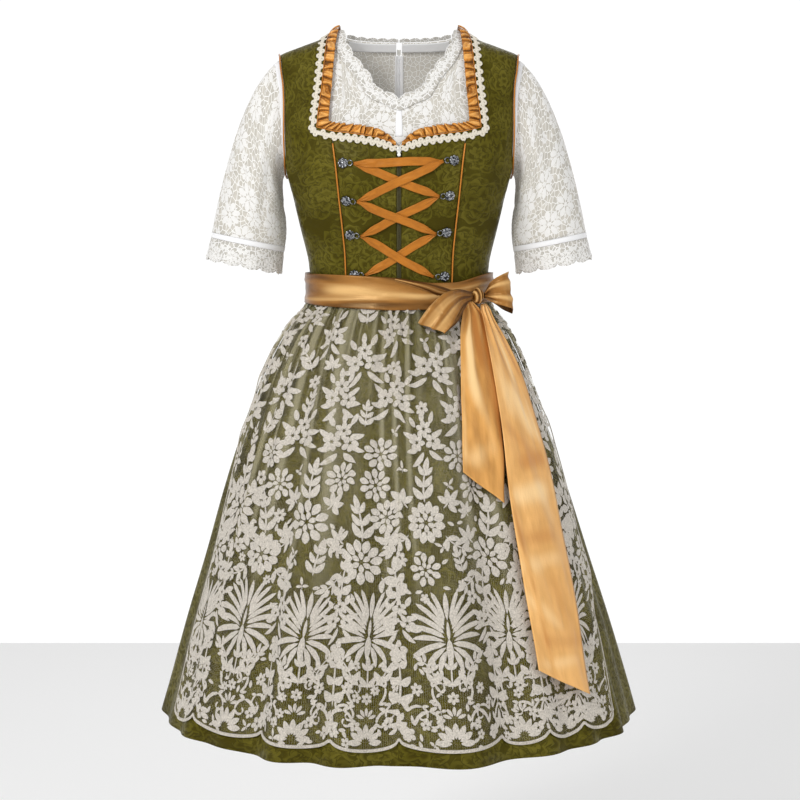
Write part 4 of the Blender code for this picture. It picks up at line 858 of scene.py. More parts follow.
BACK_CREASES = (
    (0.30, 0.05, 8, 0.060, 0.0050, 0.0012), (0.68, 0.09, -10, 0.070, 0.0050, -0.0012),
    (0.45, 0.16, 5, 0.055, 0.0055, 0.0012), (0.75, 0.20, -16, 0.050, 0.0060, 0.0010),
    (0.22, 0.27, 15, 0.050, 0.0060, -0.0011), (0.55, 0.33, -5, 0.060, 0.0070, 0.0009),
    (0.16, 0.50, 48, 0.045, 0.0080, 0.0012), (0.84, 0.54, -52, 0.045, 0.0080, 0.0011),
)  # fmt: skip
raised = crease(back, BACK_CREASES) * (1 - eased(up, 0.70, 0.80))
back = back.raised(raised)
straps = []
for sign in (1, -1):
    ways = np.linspace(0, 1, STRAP_COLUMNS)[::-sign]
    share, level = np.meshgrid(ways, np.linspace(back_corner.edge_level, 0, 26))
    x = mix(read_back_side(level)[0], outer_x(level), share)
    x[0] = across(0.0, outer_x(level[0]), mix(strap, 1.0, share[0]), level[0])
    piece = Cloth(on_body(sign * x, level, BACK))
    straps.append((piece, (0.0 if sign > 0 else back.u[-1] - piece.u[-1], back.v[-1])))
add_sheet("bodice_back", back, JACQUARD, "olive_jacquard", more=straps)

# %% [markdown]
# ## Skirt
#
# Over two metres of jacquard are gathered into the waist seam. The folds start small at the hip, grow
# toward the hem and have uneven heights and spreads, from a table with one row for each fold. Tiny
# pleats leave the seam between them.

# %% Skirt
for name, angles, side_of, rows in (
    ("skirt_front", np.linspace(-90, 90, 211), FRONT, 64),
    ("skirt_back", np.linspace(90, 270, 181), BACK, 58),
):
    angle, up = np.meshgrid(angles, np.linspace(0, 1, rows) ** 0.9)
    z = mix(HEM, WAIST - SEAM, up)
    points = girth(angle, z)
    points[:, [0, -1], 1] = side_of * SEAM
    cloth = Cloth(points)
    gathered = add_sheet(name, cloth, JACQUARD, "olive_jacquard", held="gathered")
    print(name, "hem", round(cloth.width, 3), "area", round(sum_area(gathered.data), 3))


# %% [markdown]
# ## Cords
#
# Piping, stems and rings are all round cords along a path. One function makes any number of closed
# tubes with numpy, and keeps each ring square to the path.


# %% Tubes
def ring_faces(rings, sides, closed=False):
    """The faces between rings of points, as (ring, place on the ring) counted in one row."""
    faces = []
    for j in range(rings if closed else rings - 1):
        k = (j + 1) % rings
        for i in range(sides):
            n = (i + 1) % sides
            faces.append((j * sides + i, j * sides + n, k * sides + n, k * sides + i))
    return faces


def tube(points, radius, sides=8, closed=False):
    """The points and faces of one closed cord."""
    points = np.asarray(points, float)
    along = np.gradient(points, axis=0)
    if closed:
        along = np.roll(points, -1, axis=0) - np.roll(points, 1, axis=0)
    along /= np.maximum(np.linalg.norm(along, axis=1, keepdims=True), 1e-12)
    start = np.array([0.0, 0.0, 1.0]) if abs(along[0][2]) < 0.8 else np.array([1.0, 0.0, 0.0])
    aside = []
    for way in along:
        start = start - way * np.dot(start, way)
        start /= np.linalg.norm(start)
        aside.append(start)
    aside = np.array(aside)
    third = np.cross(along, aside)
    turn = np.arange(sides) * 2 * math.pi / sides
    wide = np.broadcast_to(np.asarray(radius, float), (len(points),))[:, None, None]
    rings = aside[:, None] * np.cos(turn)[None, :, None] + third[:, None] * np.sin(turn)[None, :, None]
    rings = points[:, None] + rings * wide
    faces = ring_faces(len(points), sides, closed)
    if not closed:
        faces.append(tuple(reversed(range(sides))))
        faces.append(tuple(range((len(points) - 1) * sides, len(points) * sides)))
    return rings.reshape(-1, 3), faces


def mesh_of(name, parts):
    """One mesh from several lists of points and faces."""
    points, faces, start = [], [], 0
    for some, more in parts:
        points.append(some)
        faces += [tuple(i + start for i in face) for face in more]
        start += len(some)
    mesh = bpy.data.meshes.new(name)
    mesh.from_pydata(np.concatenate(points), [], faces)
    return mesh


# %% Piping
PIPING_RADIUS = 0.0012
RIDE = PIPING_RADIUS + 2 * SEAM
for name, sign in (("right", 1), ("left", -1)):
    level = np.linspace(-0.1765, WAIST + SEAM, 70)
    seam = on_body(sign * read_princess(level)[0], level, FRONT, RIDE)
    mesh = mesh_of("princess_piping_" + name, [tube(seam, PIPING_RADIUS)])
    add_piece("princess_piping_" + name, mesh, FRILL_SATIN, ["princess_piping_" + name])
    level = ARMPIT * (1 - np.cos(np.linspace(0, math.pi, 61))) / 2
    front = on_body(sign * outer_x(level), level, FRONT, RIDE)
    rear = on_body(sign * outer_x(level), level, BACK, RIDE)[-2:0:-1]
    front[[0, -1], 1] = 0.0
    mesh = mesh_of(
        "armhole_piping_" + name, [tube(np.concatenate([front, rear]), PIPING_RADIUS, closed=True)]
    )
    add_piece("armhole_piping_" + name, mesh, FRILL_SATIN, ["armhole_piping_" + name])


# %% [markdown]
# ## Repeats
#
# Braid loops, zip teeth, hooks and stitches are one small shape repeated along a path. A Geometry
# Nodes tree puts the shape on every point, turns it to the cloth, and makes it real.


# %% The repeat tree
def repeat_tree():
    tree = bpy.data.node_groups.new("repeat_on_points", "GeometryNodeTree")
    face = tree.interface
    face.new_socket("Points", in_out="INPUT", socket_type="NodeSocketGeometry")
    face.new_socket("Shape", in_out="INPUT", socket_type="NodeSocketObject")
    face.new_socket("Material", in_out="INPUT", socket_type="NodeSocketMaterial")
    face.new_socket("Result", in_out="OUTPUT", socket_type="NodeSocketGeometry")
    start, end = tree.nodes.new("NodeGroupInput"), tree.nodes.new("NodeGroupOutput")
    made = {}
    for kind in ("MeshToPoints", "ObjectInfo", "InstanceOnPoints", "RealizeInstances", "SetMaterial"):
        made[kind] = tree.nodes.new("GeometryNode" + kind)
    turns = []
    for name, axis, pivot in (("out", "Z", "AUTO"), ("along", "X", "Z")):
        read = tree.nodes.new("GeometryNodeInputNamedAttribute")
        read.data_type = "FLOAT_VECTOR"
        read.inputs["Name"].default_value = name
        turn = tree.nodes.new("FunctionNodeAlignRotationToVector")
        turn.axis, turn.pivot_axis = axis, pivot
        tree.links.new(read.outputs[0], turn.inputs["Vector"])
        turns.append(turn)
    links = tree.links
    links.new(turns[0].outputs[0], turns[1].inputs["Rotation"])
    links.new(start.outputs["Points"], made["MeshToPoints"].inputs[0])
    links.new(made["MeshToPoints"].outputs[0], made["InstanceOnPoints"].inputs["Points"])
    links.new(start.outputs["Shape"], made["ObjectInfo"].inputs["Object"])
    links.new(made["ObjectInfo"].outputs["Geometry"], made["InstanceOnPoints"].inputs["Instance"])
    links.new(turns[1].outputs[0], made["InstanceOnPoints"].inputs["Rotation"])
    links.new(made["InstanceOnPoints"].outputs[0], made["RealizeInstances"].inputs[0])
    links.new(made["RealizeInstances"].outputs[0], made["SetMaterial"].inputs["Geometry"])
    links.new(start.outputs["Material"], made["SetMaterial"].inputs["Material"])
    links.new(made["SetMaterial"].outputs[0], end.inputs[0])
    return tree


REPEAT = repeat_tree()


def repeated(name, shape, places, out, along, material):
    """A plain mesh with the shape on each place."""
    mesh = bpy.data.meshes.new(name + "_points")
    mesh.from_pydata(places, [], [])
    for key, values in (("out", out), ("along", along)):
        layer = mesh.attributes.new(key, "FLOAT_VECTOR", "POINT")
        layer.data.foreach_set("vector", np.asarray(values, np.float32).ravel())
    carrier = bpy.data.objects.new(name + "_points", mesh)
    model = bpy.data.objects.new(name + "_shape", shape)
    for item in (carrier, model):
        bpy.context.scene.collection.objects.link(item)
    modifier = carrier.modifiers.new("repeat", "NODES")
    modifier.node_group = REPEAT
    for socket in REPEAT.interface.items_tree:
        if socket.in_out == "INPUT" and socket.name in ("Shape", "Material"):
            modifier[socket.identifier] = model if socket.name == "Shape" else material
    graph = bpy.context.evaluated_depsgraph_get()
    result = bpy.data.meshes.new_from_object(carrier.evaluated_get(graph))
    for item in (carrier, model):
        bpy.data.objects.remove(item)
    result.name = name
    return result

# %% [markdown]
# ## Neck trims
#
# A strip of orange satin is gathered along both edges, so it stands in small puffs. Beside it runs
# a cream braid: a flat tape with a row of round thread loops on each edge.


# %% Walking a neckline
def walked(stops, share):
    """Every column of the stops at a share of the way along the edge, and the way in metres."""
    table = np.array(stops)
    way = np.concatenate([[0], np.cumsum(np.hypot(np.diff(table[:, 0]), np.diff(table[:, 1])))])
    at = share * way[-1]
    return [np.interp(at, way, table[:, i]) for i in range(6)], at


def even_steps(stops, pitch, over=1):
    """Even shares along the edge that keep its corners."""
    table = np.array(stops)
    lengths = np.hypot(np.diff(table[:, 0]), np.diff(table[:, 1]))
    way = np.concatenate([[0], np.cumsum(lengths)]) / lengths.sum()
    counts = [max(round(n * over / pitch), 1) for n in lengths]
    parts = [np.linspace(a, b, n, endpoint=False) for a, b, n in zip(way, way[1:], counts)]
    return np.concatenate([*parts, [1.0]])


def mirror_stops(stops):
    left = [s._replace(edge_x=-s.edge_x, frill_x=-s.frill_x, braid_x=-s.braid_x) for s in stops]
    return left[:-1] + list(reversed(stops))


FRILL_LIFT, FRILL_WAVE, TRIM_OUT = 0.0030, 0.0028, 0.0023


def frill(stops, side, pitch):
    """Box tucks between two gathered edges. Each tuck laps over the next, leans, and is its own length."""
    share, up = np.meshgrid(even_steps(stops, pitch, 30), np.linspace(0, 1, 11))
    (edge_x, edge_level, frill_x, frill_level, _, _), way = walked(stops, share)
    uneven = 0.22 * np.sin(way * 131) + 0.16 * np.sin(way * 347 + 1)
    phase = way / pitch + uneven + (up - 0.5) * (0.45 + 0.30 * np.sin(way * 83 + 0.5))
    tuck = np.mod(phase, 1.0)
    lap = np.minimum(tuck / 0.10, 1.0) * (1 - tuck) ** 0.55
    inner = 0.16 * np.cos(2 * math.pi * (2.6 * phase + 0.8 * up)) * np.sin(math.pi * tuck)
    puff = np.sin(math.pi * np.clip(0.10 + up * 0.80, 0, 1)) ** 0.6
    lift = 0.0006 + (FRILL_LIFT + FRILL_WAVE - 0.0010) * np.clip(lap * 0.86 + inner, 0, 1) * puff
    tucked = 0.0022 * (lap - 0.5) * up**1.5
    reach = mix(0.08, 1.0, up)
    x = mix(edge_x, frill_x, reach) + np.sign(frill_x - edge_x) * tucked * 0.6
    level = np.minimum(mix(edge_level, frill_level, reach) + tucked, -0.0012)
    # tone is painted light: shade where each tuck runs under the next and in its small wrinkles, and a
    # highlight on the raised part of each puff.
    tone = np.clip(2.0 * lap + 1.6 * inner - 1.15, -1, 0.8) * np.minimum(puff * 1.3, 1)
    return on_body(x, level, side, lift), tone


def braid(stops, side):
    share, up = np.meshgrid(even_steps(stops, 0.003), np.linspace(0, 1, 5))
    (edge_x, edge_level, _, _, braid_x, braid_level), _ = walked(stops, share)
    arched = TRIM_OUT - 0.0009 + 0.0006 * np.sin(math.pi * up)
    reach = mix(0.30, 0.72, up)
    return on_body(mix(edge_x, braid_x, reach), mix(edge_level, braid_level, reach), side, arched)


def braid_places(stops, side):
    """Where the loops stand: along both edges of the tape."""
    places = []
    for reach, offset in ((0.33, 0.0), (0.68, 0.5)):
        share = even_steps(stops, 0.0112)
        share = share + offset * np.append(np.diff(share), 0.0)
        (edge_x, edge_level, _, _, braid_x, braid_level), _ = walked(stops, share)
        x, level = mix(edge_x, braid_x, reach), mix(edge_level, braid_level, reach)
        places.append(on_body(x, level, side, TRIM_OUT - 0.0009))
    return np.concatenate(places)


def loop_shape(radius, wire, around=20, sides=6):
    """A flat ring with a small eye."""
    turn = np.arange(around) * 2 * math.pi / around
    ring = np.stack([radius * np.cos(turn), radius * np.sin(turn), 0 * turn], axis=1)
    points, faces = tube(ring, wire, sides, closed=True)
    return mesh_of("loop", [(points * (1.0, 1.0, 0.42), faces)])


right_stops, back_stops = list(reversed(FRONT_NECK)), mirror_stops(BACK_NECK)
front_frill, front_tone = frill(right_stops, FRONT, 0.0115)
back_frill, back_tone = frill(back_stops, BACK, 0.0120)
front_braid = braid(right_stops, FRONT)
front_places = braid_places(right_stops, FRONT)
flip = (-1, 1, 1)
left_frill, left_braid = (front_frill * flip)[:, ::-1], (front_braid * flip)[:, ::-1]
for name, frill_points, tone, braid_points, places in (
    ("right", front_frill, front_tone, front_braid, front_places),
    ("left", left_frill, front_tone[:, ::-1], left_braid, front_places * flip),
    ("back", back_frill, back_tone, braid(back_stops, BACK), braid_places(back_stops, BACK)),
):
    cloth = Cloth(frill_points)
    add_sheet(
        "neck_frill_" + name, cloth, FRILL_SATIN, "amber_satin", wall=0.0006, held="gathered", tone=tone
    )
    tape = Cloth(braid_points)
    if np.dot(tape.normal[2, 5], outward(braid_points[2, 5])) < 0:
        tape = Cloth(braid_points[::-1])
    add_sheet("neck_braid_" + name, tape, BRAID_THREAD, "cream_braid", wall=0.0008)
    out = outward(places)
    turned = np.cross(out, (0.0, 0.0, 1.0))
    loops = repeated(
        "neck_braid_loops_" + name, loop_shape(0.0026, 0.0018), places, out, turned, BRAID_THREAD
    )
    add_piece(loops.name, loops, BRAID_THREAD)
    print(name, "rings", len(places), "triangles", len(loops.polygons) * 2)

for name, stops, side in (
    ("right", right_stops, FRONT), ("left", right_stops, FRONT), ("back", back_stops, BACK)
):
    (edge_x, edge_level, _, _, _, _), _ = walked(stops, even_steps(stops, 0.003))
    line = on_body(edge_x, edge_level, side, 0.0013) * (flip if name == "left" else (1, 1, 1))
    mesh = mesh_of("neck_piping_" + name, [tube(line, 0.0008, 6)])
    add_piece(mesh.name, mesh, FRILL_SATIN)

# %% [markdown]
# ## Hooks and lacing
#
# Eight cast flowers with a ring hold one ribbon in zigzag over the zip. The flower is built once,
# with rounded petals, a ring of beads and a raised middle, and the repeat tree sets all eight.

# %% Hooks
Hook = namedtuple("Hook", "x level")
HOOKS = {
    "left_1": Hook(-0.0792, -0.2041), "left_2": Hook(-0.0750, -0.2571),
    "left_3": Hook(-0.0700, -0.3055), "left_4": Hook(-0.0640, -0.3630),
    "right_1": Hook(0.0780, -0.2004), "right_2": Hook(0.0722, -0.2499),
    "right_3": Hook(0.0682, -0.3018), "right_4": Hook(0.0655, -0.3655),
}  # fmt: skip


HOOK_RADIUS = 0.0078
HOOK_RINGS = (  # share of the radius, height
    (0.98, 0.0002), (1.0, 0.0010), (0.93, 0.0019), (0.74, 0.0024),
    (0.50, 0.0019), (0.40, 0.0018), (0.33, 0.0028), (0.20, 0.0035),
)  # fmt: skip


def hook_shape():
    """A flower of eight petals seen from above, its ring reaching along X."""
    turn = np.linspace(0, 2 * math.pi, 96, endpoint=False)
    rings = []
    for reach, height in HOOK_RINGS:
        petal = 1 - 0.17 * (1 - np.abs(np.cos(4 * turn))) ** 1.5 * (reach > 0.45)
        radius = HOOK_RADIUS * reach * petal
        bead = 0.0004 * np.cos(4 * turn) ** 2 * (0.45 < reach < 0.95)
        rings.append(np.stack([radius * np.cos(turn), radius * np.sin(turn), height + bead], axis=1))
    points = np.concatenate([*rings, [[0, 0, 0.0037], [0, 0, 0.0002]]])
    n = len(turn)
    faces = ring_faces(len(rings), n)
    last = (len(rings) - 1) * n
    for i in range(n):
        faces.append((last + i, last + (i + 1) % n, len(points) - 2))
        faces.append(((i + 1) % n, i, len(points) - 1))
    turn = np.arange(28) * 2 * math.pi / 28
    ring = np.stack([0.0102 + 0.0038 * np.cos(turn), 0.0038 * np.sin(turn), 0.0012 + 0 * turn], axis=1)
    return mesh_of("hook", [(points, faces), tube(ring, 0.0008, 8, closed=True)])


spots = np.array(list(HOOKS.values()))
places = on_body(spots[:, 0], spots[:, 1], FRONT, SEAM + 0.0002)
toward = np.stack([-np.sign(spots[:, 0]), 0 * spots[:, 0], 0 * spots[:, 0]], axis=1)
hooks = repeated("flower_hooks", hook_shape(), places, outward(places), toward, SILVER)
add_piece("flower_hooks", hooks, SILVER, ["flower_hook_" + name for name in HOOKS])

# %% Lacing
Stretch = namedtuple("Stretch", "start end at_start at_middle at_end")
LOW, HIGH = 0.0020, 0.0040
HOOK_REACH, HOOK_DROP, RIBBON_TIED, RIBBON_WIDTH = 0.0158, 0.0012, 0.004, 0.012
LACING = (
    Stretch("left_1", "right_1", HIGH, HIGH, LOW),
    Stretch("right_1", "left_2", HIGH, HIGH, LOW),
    Stretch("left_1", "right_2", LOW, LOW, HIGH),
    Stretch("left_2", "right_3", HIGH, HIGH, HIGH),
    Stretch("right_2", "left_3", LOW, LOW, HIGH),
    Stretch("left_3", "right_4", LOW, HIGH, LOW),
    Stretch("right_3", "left_4", LOW, LOW, LOW),
)
for number, stretch in enumerate(LACING, 1):
    ends = []
    for hook in (HOOKS[stretch.start], HOOKS[stretch.end]):
        ends.append(np.array([hook.x - math.copysign(HOOK_REACH, hook.x), hook.level - HOOK_DROP]))
    if ends[0][0] > ends[1][0]:
        ends.reverse()
        stretch = stretch._replace(at_start=stretch.at_end, at_end=stretch.at_start)
    run = ends[1] - ends[0]
    length = float(np.hypot(*run))
    aside = np.array([-run[1], run[0]]) / length
    share, up = grid_of(64, 13)
    from_end = np.minimum(share, 1 - share) * length
    half = mix(RIBBON_TIED, RIBBON_WIDTH, eased(from_end, 0.0, 0.022)) / 2
    drift = 0.0006 * np.sin(share * 9 + number * 2)
    x = ends[0][0] + run[0] * share + aside[0] * (half * (2 * up - 1) + drift)
    level = ends[0][1] + run[1] * share + aside[1] * (half * (2 * up - 1) + drift)
    rise = mix(stretch.at_start, stretch.at_middle, eased(share, 0.27, 0.38))
    rise = mix(rise, stretch.at_end, eased(share, 0.62, 0.73))
    pinched = 1 - eased(from_end, 0.004, 0.030)
    crinkle = 0.0005 * pinched * np.cos(2 * math.pi * (up * 2.5 + 0.13 * number))
    crinkle = crinkle + 0.00025 * np.cos(math.pi * (2 * up - 1 + share))
    name = f"lacing_{number}"
    ribbon = Cloth(on_body(x, level, FRONT, rise + crinkle))
    add_sheet(name, ribbon, RIBBON_SATIN, "amber_satin", wall=0.0005)

# %% [markdown]
# ## Zips
#
# The dress closes in front with a fine coil zip under the lacing, and the blouse closes behind. The
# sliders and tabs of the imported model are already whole, so they only get their enamel here.


# %% Zips
def add_zip(name, tape, teeth, slot, nodes, tape_material, teeth_material):
    wall = 0.0012 if name == "front_zip" else 0.0008
    add_sheet(name + "_tape", tape, tape_material, slot, nodes, wall=wall)
    out, along = outward(teeth), np.tile((1.0, 0.0, 0.0), (len(teeth), 1))
    turn = np.arange(10) * 2 * math.pi / 10
    ring = np.stack([0.0012 * np.cos(turn), 0.00048 * np.sin(turn), 0.0003 + 0 * turn], axis=1)
    tooth = mesh_of("tooth", [tube(ring, 0.00030, 4, closed=True)])
    mesh = repeated(name + "_teeth", tooth, teeth, out, along, teeth_material)
    add_piece(mesh.name, mesh, teeth_material)


def tape_points(levels, edge, side, shown, hidden, half=0.0062):
    """A tape that shows between two edges and goes on under them."""
    x, level = np.meshgrid(np.linspace(-half, half, 15) * -side, levels)
    return Cloth(on_body(x, level, side, mix(shown, hidden, eased(np.abs(x), edge - 0.0009, edge + 0.0001))))


tape = tape_points(np.linspace(WAIST + SEAM, -0.1815, 90), ZIP_EDGE - SEAM, FRONT, SEAM, -0.0020)
ZIP_PITCH = 0.0014
level = np.arange(WAIST + 0.003, -0.192, ZIP_PITCH)
teeth = on_body(0 * level, level, FRONT, SEAM)
add_zip("front_zip", tape, teeth, "zip_tape", ["front_zip"], ZIP_TAPE, ZIP_TEETH)
ENAMELLED = ("front_zip_slider", "front_zip_pull", "blouse_zip_slider", "blouse_zip_pull")
for item in bpy.context.scene.objects:
    if item.name.startswith(ENAMELLED) and item.type == "MESH":
        item.data.materials.clear()
        item.data.materials.append(ENAMEL)

# %% [markdown]
# ## Apron
#
# A sheer tulle panel is gathered under the sash and lies over the skirt's folds. Its hem is cut in
# round scallops. All of its flowers are stitched: each petal is a small raised pad of thread, and
# here each one is a little closed body laid on the tulle in its own measures.

# %% The tulle panel
APRON_SIDES = (  # height, how many degrees round each side
    (-0.392, -104, 106), (-0.500, -87, 94), (-0.600, -77, 84), (-0.690, -72.5, 78),
    (-0.780, -71, 74), (-0.850, -70, 65.5), (-1.010, -67, 60),
)  # fmt: skip
APRON_CUSPS = (-67.5, -57, -33, -15, 0, 24, 36, 48, 60)
APRON_STEADY, APRON_OUT, APRON_CUSP_Z, APRON_SCALLOP = 54, 0.0038, -0.9905, 0.0165
STEADY_SHARE = 0.62
read_apron_sides = reader(APRON_SIDES)


def apron_hem(angle):
    height = np.full_like(angle, APRON_CUSP_Z)
    for a, b in zip(APRON_CUSPS, APRON_CUSPS[1:]):
        share = np.clip(2 * (angle - a) / (b - a) - 1, -1, 1)
        height = np.minimum(height, APRON_CUSP_Z - APRON_SCALLOP * np.sqrt(1 - share**2))
    return height


def apron_lift(angle, z):
    """Height over the skirt. The apron bridges the folds at the sides and has longer gathers of its own."""
    bridged = np.maximum.reduce([fold_height(angle + turn, z) for turn in (-8, -4, 0, 4, 8)])
    fade = eased(z, -0.86, -0.46)
    phase = angle / 7.9 + 0.6 * np.sin(angle / 9.1) + 0.3 * np.sin(angle / 4.3)
    ripple = 0.5 + 0.5 * np.cos(2 * math.pi * phase)
    own = 0.0042 * ripple**2 * fade * (1 - eased(z, -0.440, -0.405) * 0.75)
    folds = mix(fold_height(angle, z), bridged, eased(np.abs(angle), 45, 58))
    return APRON_OUT + folds + gathers(angle, z) + own


def apron_tone(angle, z):
    """The tulle doubles on narrow crests of its gathers, which fade and wander on the way down. Broad
    bands, fading out toward the hem, are painted highlight for the light on the crests of wide folds.
    """
    wander = angle + 1.6 * np.sin(z * 9 + angle / 17)
    fine = wander / 3.9 + 0.7 * np.sin(wander / 5.3) + 0.4 * np.sin(wander / 2.9)
    broad = wander / 10.3 + 0.5 * np.sin(wander / 7.1) + 0.3 * np.sin(wander / 4.3)
    crest, band = (0.5 + 0.5 * np.cos(2 * math.pi * phase) for phase in (fine, broad))
    patchy = 0.5 + 0.5 * np.sin(wander * 0.9 + z * 14) * np.sin(wander * 0.37 - z * 6)
    crests = crest**5 * (0.25 + 0.75 * patchy) * 0.8 * eased(z, -0.66, -0.43)
    return crests + 0.85 * band**3 * eased(z, -0.94, -0.60)


def apron_points(columns, rows):
    """Even columns between the two side edges, which draw in toward the hem."""
    share, up = np.meshgrid(np.linspace(-1, 1, columns), np.linspace(0, 1, rows))
    z = mix(APRON_CUSP_Z, APRON_SIDES[0][0], up)
    left, right = read_apron_sides(z)
    inner = APRON_STEADY * share / STEADY_SHARE
    beyond = (np.abs(share) - STEADY_SHARE) / (1 - STEADY_SHARE)
    outer = np.where(share < 0, -mix(APRON_STEADY, -left, beyond), mix(APRON_STEADY, right, beyond))
    angle = np.where(np.abs(share) < STEADY_SHARE, inner, outer)
    hem = apron_hem(angle[:1])
    z = mix(np.broadcast_to(hem, z.shape), APRON_SIDES[0][0], up)
    return girth(angle, z, apron_lift(angle, z), folded=False), angle


apron_grid, apron_angles = apron_points(261, 74)
apron = Cloth(apron_grid)
tone = apron_tone(apron_angles, apron_grid[..., 2])
settings = {"wall": 0.0005, "held": "gathered", "tone": tone}
panel = add_sheet("apron_panel", apron, TULLE, "embroidered_tulle", **settings)
print("apron", round(apron.width, 3), round(apron.length, 3), "area", round(sum_area(panel.data), 3))

# %% [markdown]
# ## Stitched flowers
#
# A leaf is the only stitch shape: a pointed lens with a raised middle. Long thin ones are stems,
# rings of them are flowers, fans of them are palmettes. A design is a list of leaves in metres, and
# the collector lays every design on the cloth at once.


# %% Leaves laid on a cloth
Leaf = namedtuple("Leaf", "x y heading length width bend")
LEAF_STEPS, LEAF_LIFT, STEM_SHARE, STEM_BEND = 12, 0.0001, 0.16, 75
SECTIONS = np.array([0.0, 0.14, 0.38, 0.66, 0.88, 1.0])
PROFILE = np.array([0.0, 0.62, 1.0, 0.86, 0.45, 0.0])
STEM_PROFILE = np.array([0.0, 0.9, 1.0, 1.0, 0.8, 0.0])


class Stitches:
    """Collects leaves and turns them into one mesh of small closed bodies."""

    def __init__(self, cloth, height):
        self.cloth, self.height, self.rows = cloth, height, []

    def add(self, design, u, v, turn=0.0):
        """Lays a design with its origin at shares u and v of the cloth."""
        spin = math.radians(turn)
        cosine, sine = math.cos(spin), math.sin(spin)
        for x, y, heading, length, width, bend in design:
            px, py = x * cosine - y * sine, x * sine + y * cosine
            self.rows.append((u, v, px, py, heading + turn, length, width, bend))

    def mesh(self, name):
        u, v, x, y, heading, length, width, bend = np.array(self.rows).T
        mu, mv = self.cloth.scale(u, v)
        theta, turned = np.radians(heading), np.radians(bend)
        angles = theta[:, None] + turned[:, None] * (np.arange(LEAF_STEPS)[None] + 0.5) / LEAF_STEPS
        start = np.zeros((len(u), 1))
        dx = np.hstack([start, np.cumsum(np.cos(angles), axis=1) / LEAF_STEPS * length[:, None]])
        dy = np.hstack([start, np.cumsum(np.sin(angles), axis=1) / LEAF_STEPS * length[:, None]])
        at = SECTIONS * LEAF_STEPS
        low = at.astype(int)
        high = np.minimum(low + 1, LEAF_STEPS)
        part = at - low
        cx = dx[:, low] * (1 - part) + dx[:, high] * part
        cy = dy[:, low] * (1 - part) + dy[:, high] * part
        way = theta[:, None] + turned[:, None] * SECTIONS[None]
        thin = ((width < STEM_SHARE * length) | (np.abs(bend) >= STEM_BEND))[:, None]
        profile = np.where(thin, STEM_PROFILE[None], PROFILE[None]) * width[:, None] / 2
        points = []
        for side, level in ((1, 0.0), (0, 1.0), (-1, 0.0), (0, -0.5)):
            px = x[:, None] + cx - np.sin(way) * profile * side
            py = y[:, None] + cy + np.cos(way) * profile * side
            rise = level * self.height * np.minimum(profile / 0.0012, 1.0)
            points.append((px, py, rise + LEAF_LIFT))
        px, py, rise = (np.stack(part, axis=2)[:, 1:-1] for part in zip(*points))
        share, up = ((a[:, None, None] + b / m[:, None, None]) for a, b, m in ((u, px, mu), (v, py, mv)))
        spot = self.cloth.at(share, up, rise)
        tips = []
        for k in (0, -1):
            tx, ty = x + cx[:, k], y + cy[:, k]
            tips.append(self.cloth.at(u + tx / mu, v + ty / mv, LEAF_LIFT))
        body = np.concatenate([tips[0][:, None], spot.reshape(len(u), 16, 3), tips[1][:, None]], axis=1)
        faces = []
        for i in range(4):
            k = (i + 1) % 4
            faces.append((0, 1 + k, 1 + i, 1 + i))
            for j in range(3):
                faces.append((1 + 4 * j + i, 1 + 4 * j + k, 5 + 4 * j + k, 5 + 4 * j + i))
            faces.append((13 + i, 13 + k, 17, 17))
        faces = np.array(faces)[None] + (np.arange(len(u)) * 18)[:, None, None]
        mesh = bpy.data.meshes.new(name)
        clean = [tuple(dict.fromkeys(face)) for face in faces.reshape(-1, 4).tolist()]
        mesh.from_pydata(body.reshape(-1, 3), [], clean)
        return mesh

    def sew(self, name, material, slot):
        """Finishes the piece. Its edges stay crisp, so flat stitches don't look like cushions."""
        item = add_piece(name, self.mesh(name), material)
        item.data.set_sharp_from_angle(angle=math.radians(40))
        print(name, len(self.rows), "leaves", len(self.rows) * 32, "triangles")


def around(reach, count, start, sweep, length, width):
    """Leaves fanned round the origin."""
    rows = []
    for i in range(count):
        angle = start + sweep * i / max(count - (0 if abs(sweep) >= 360 else 1), 1)
        spin = math.radians(angle)
        rows.append(Leaf(reach * math.cos(spin), reach * math.sin(spin), angle, length, width, 0.0))
    return rows


def petal(x, y, heading, length, width, bend=0.0):
    """A leaf that is widest near its far end."""
    half = math.radians(bend) / 2
    chord = length * (math.sin(half) / half if half else 1.0)
    way = math.radians(heading) + half
    x, y = x + chord * math.cos(way), y + chord * math.sin(way)
    return Leaf(x, y, heading + bend + 180, length, width, -bend)


def whorl(count, inner, outer, width, start=90.0, sweep=360.0, bend=0.0):
    """Petals between two radii, round a full turn or a part of it."""
    rows = []
    for i in range(count):
        turn = start + sweep * i / (count if abs(sweep) >= 360 else count - 1)
        spin = math.radians(turn)
        rows.append(petal(inner * math.cos(spin), inner * math.sin(spin), turn, outer - inner, width, bend))
    return rows


def flower(radius, petals=5, start=90.0, plump=0.84):
    """Separate round petals round an open eye."""
    return whorl(petals, radius * 0.13, radius, 2 * math.pi * radius * 0.66 * plump / petals, start)


def rosette(radius, petals=11):
    """A full blossom: a ring of round petals outside a ring of small ones."""
    middle = whorl(6, radius * 0.10, radius * 0.47, radius * 0.25, 75, 360, 10)
    return whorl(petals, radius * 0.40, radius, radius * 0.39, 90) + middle


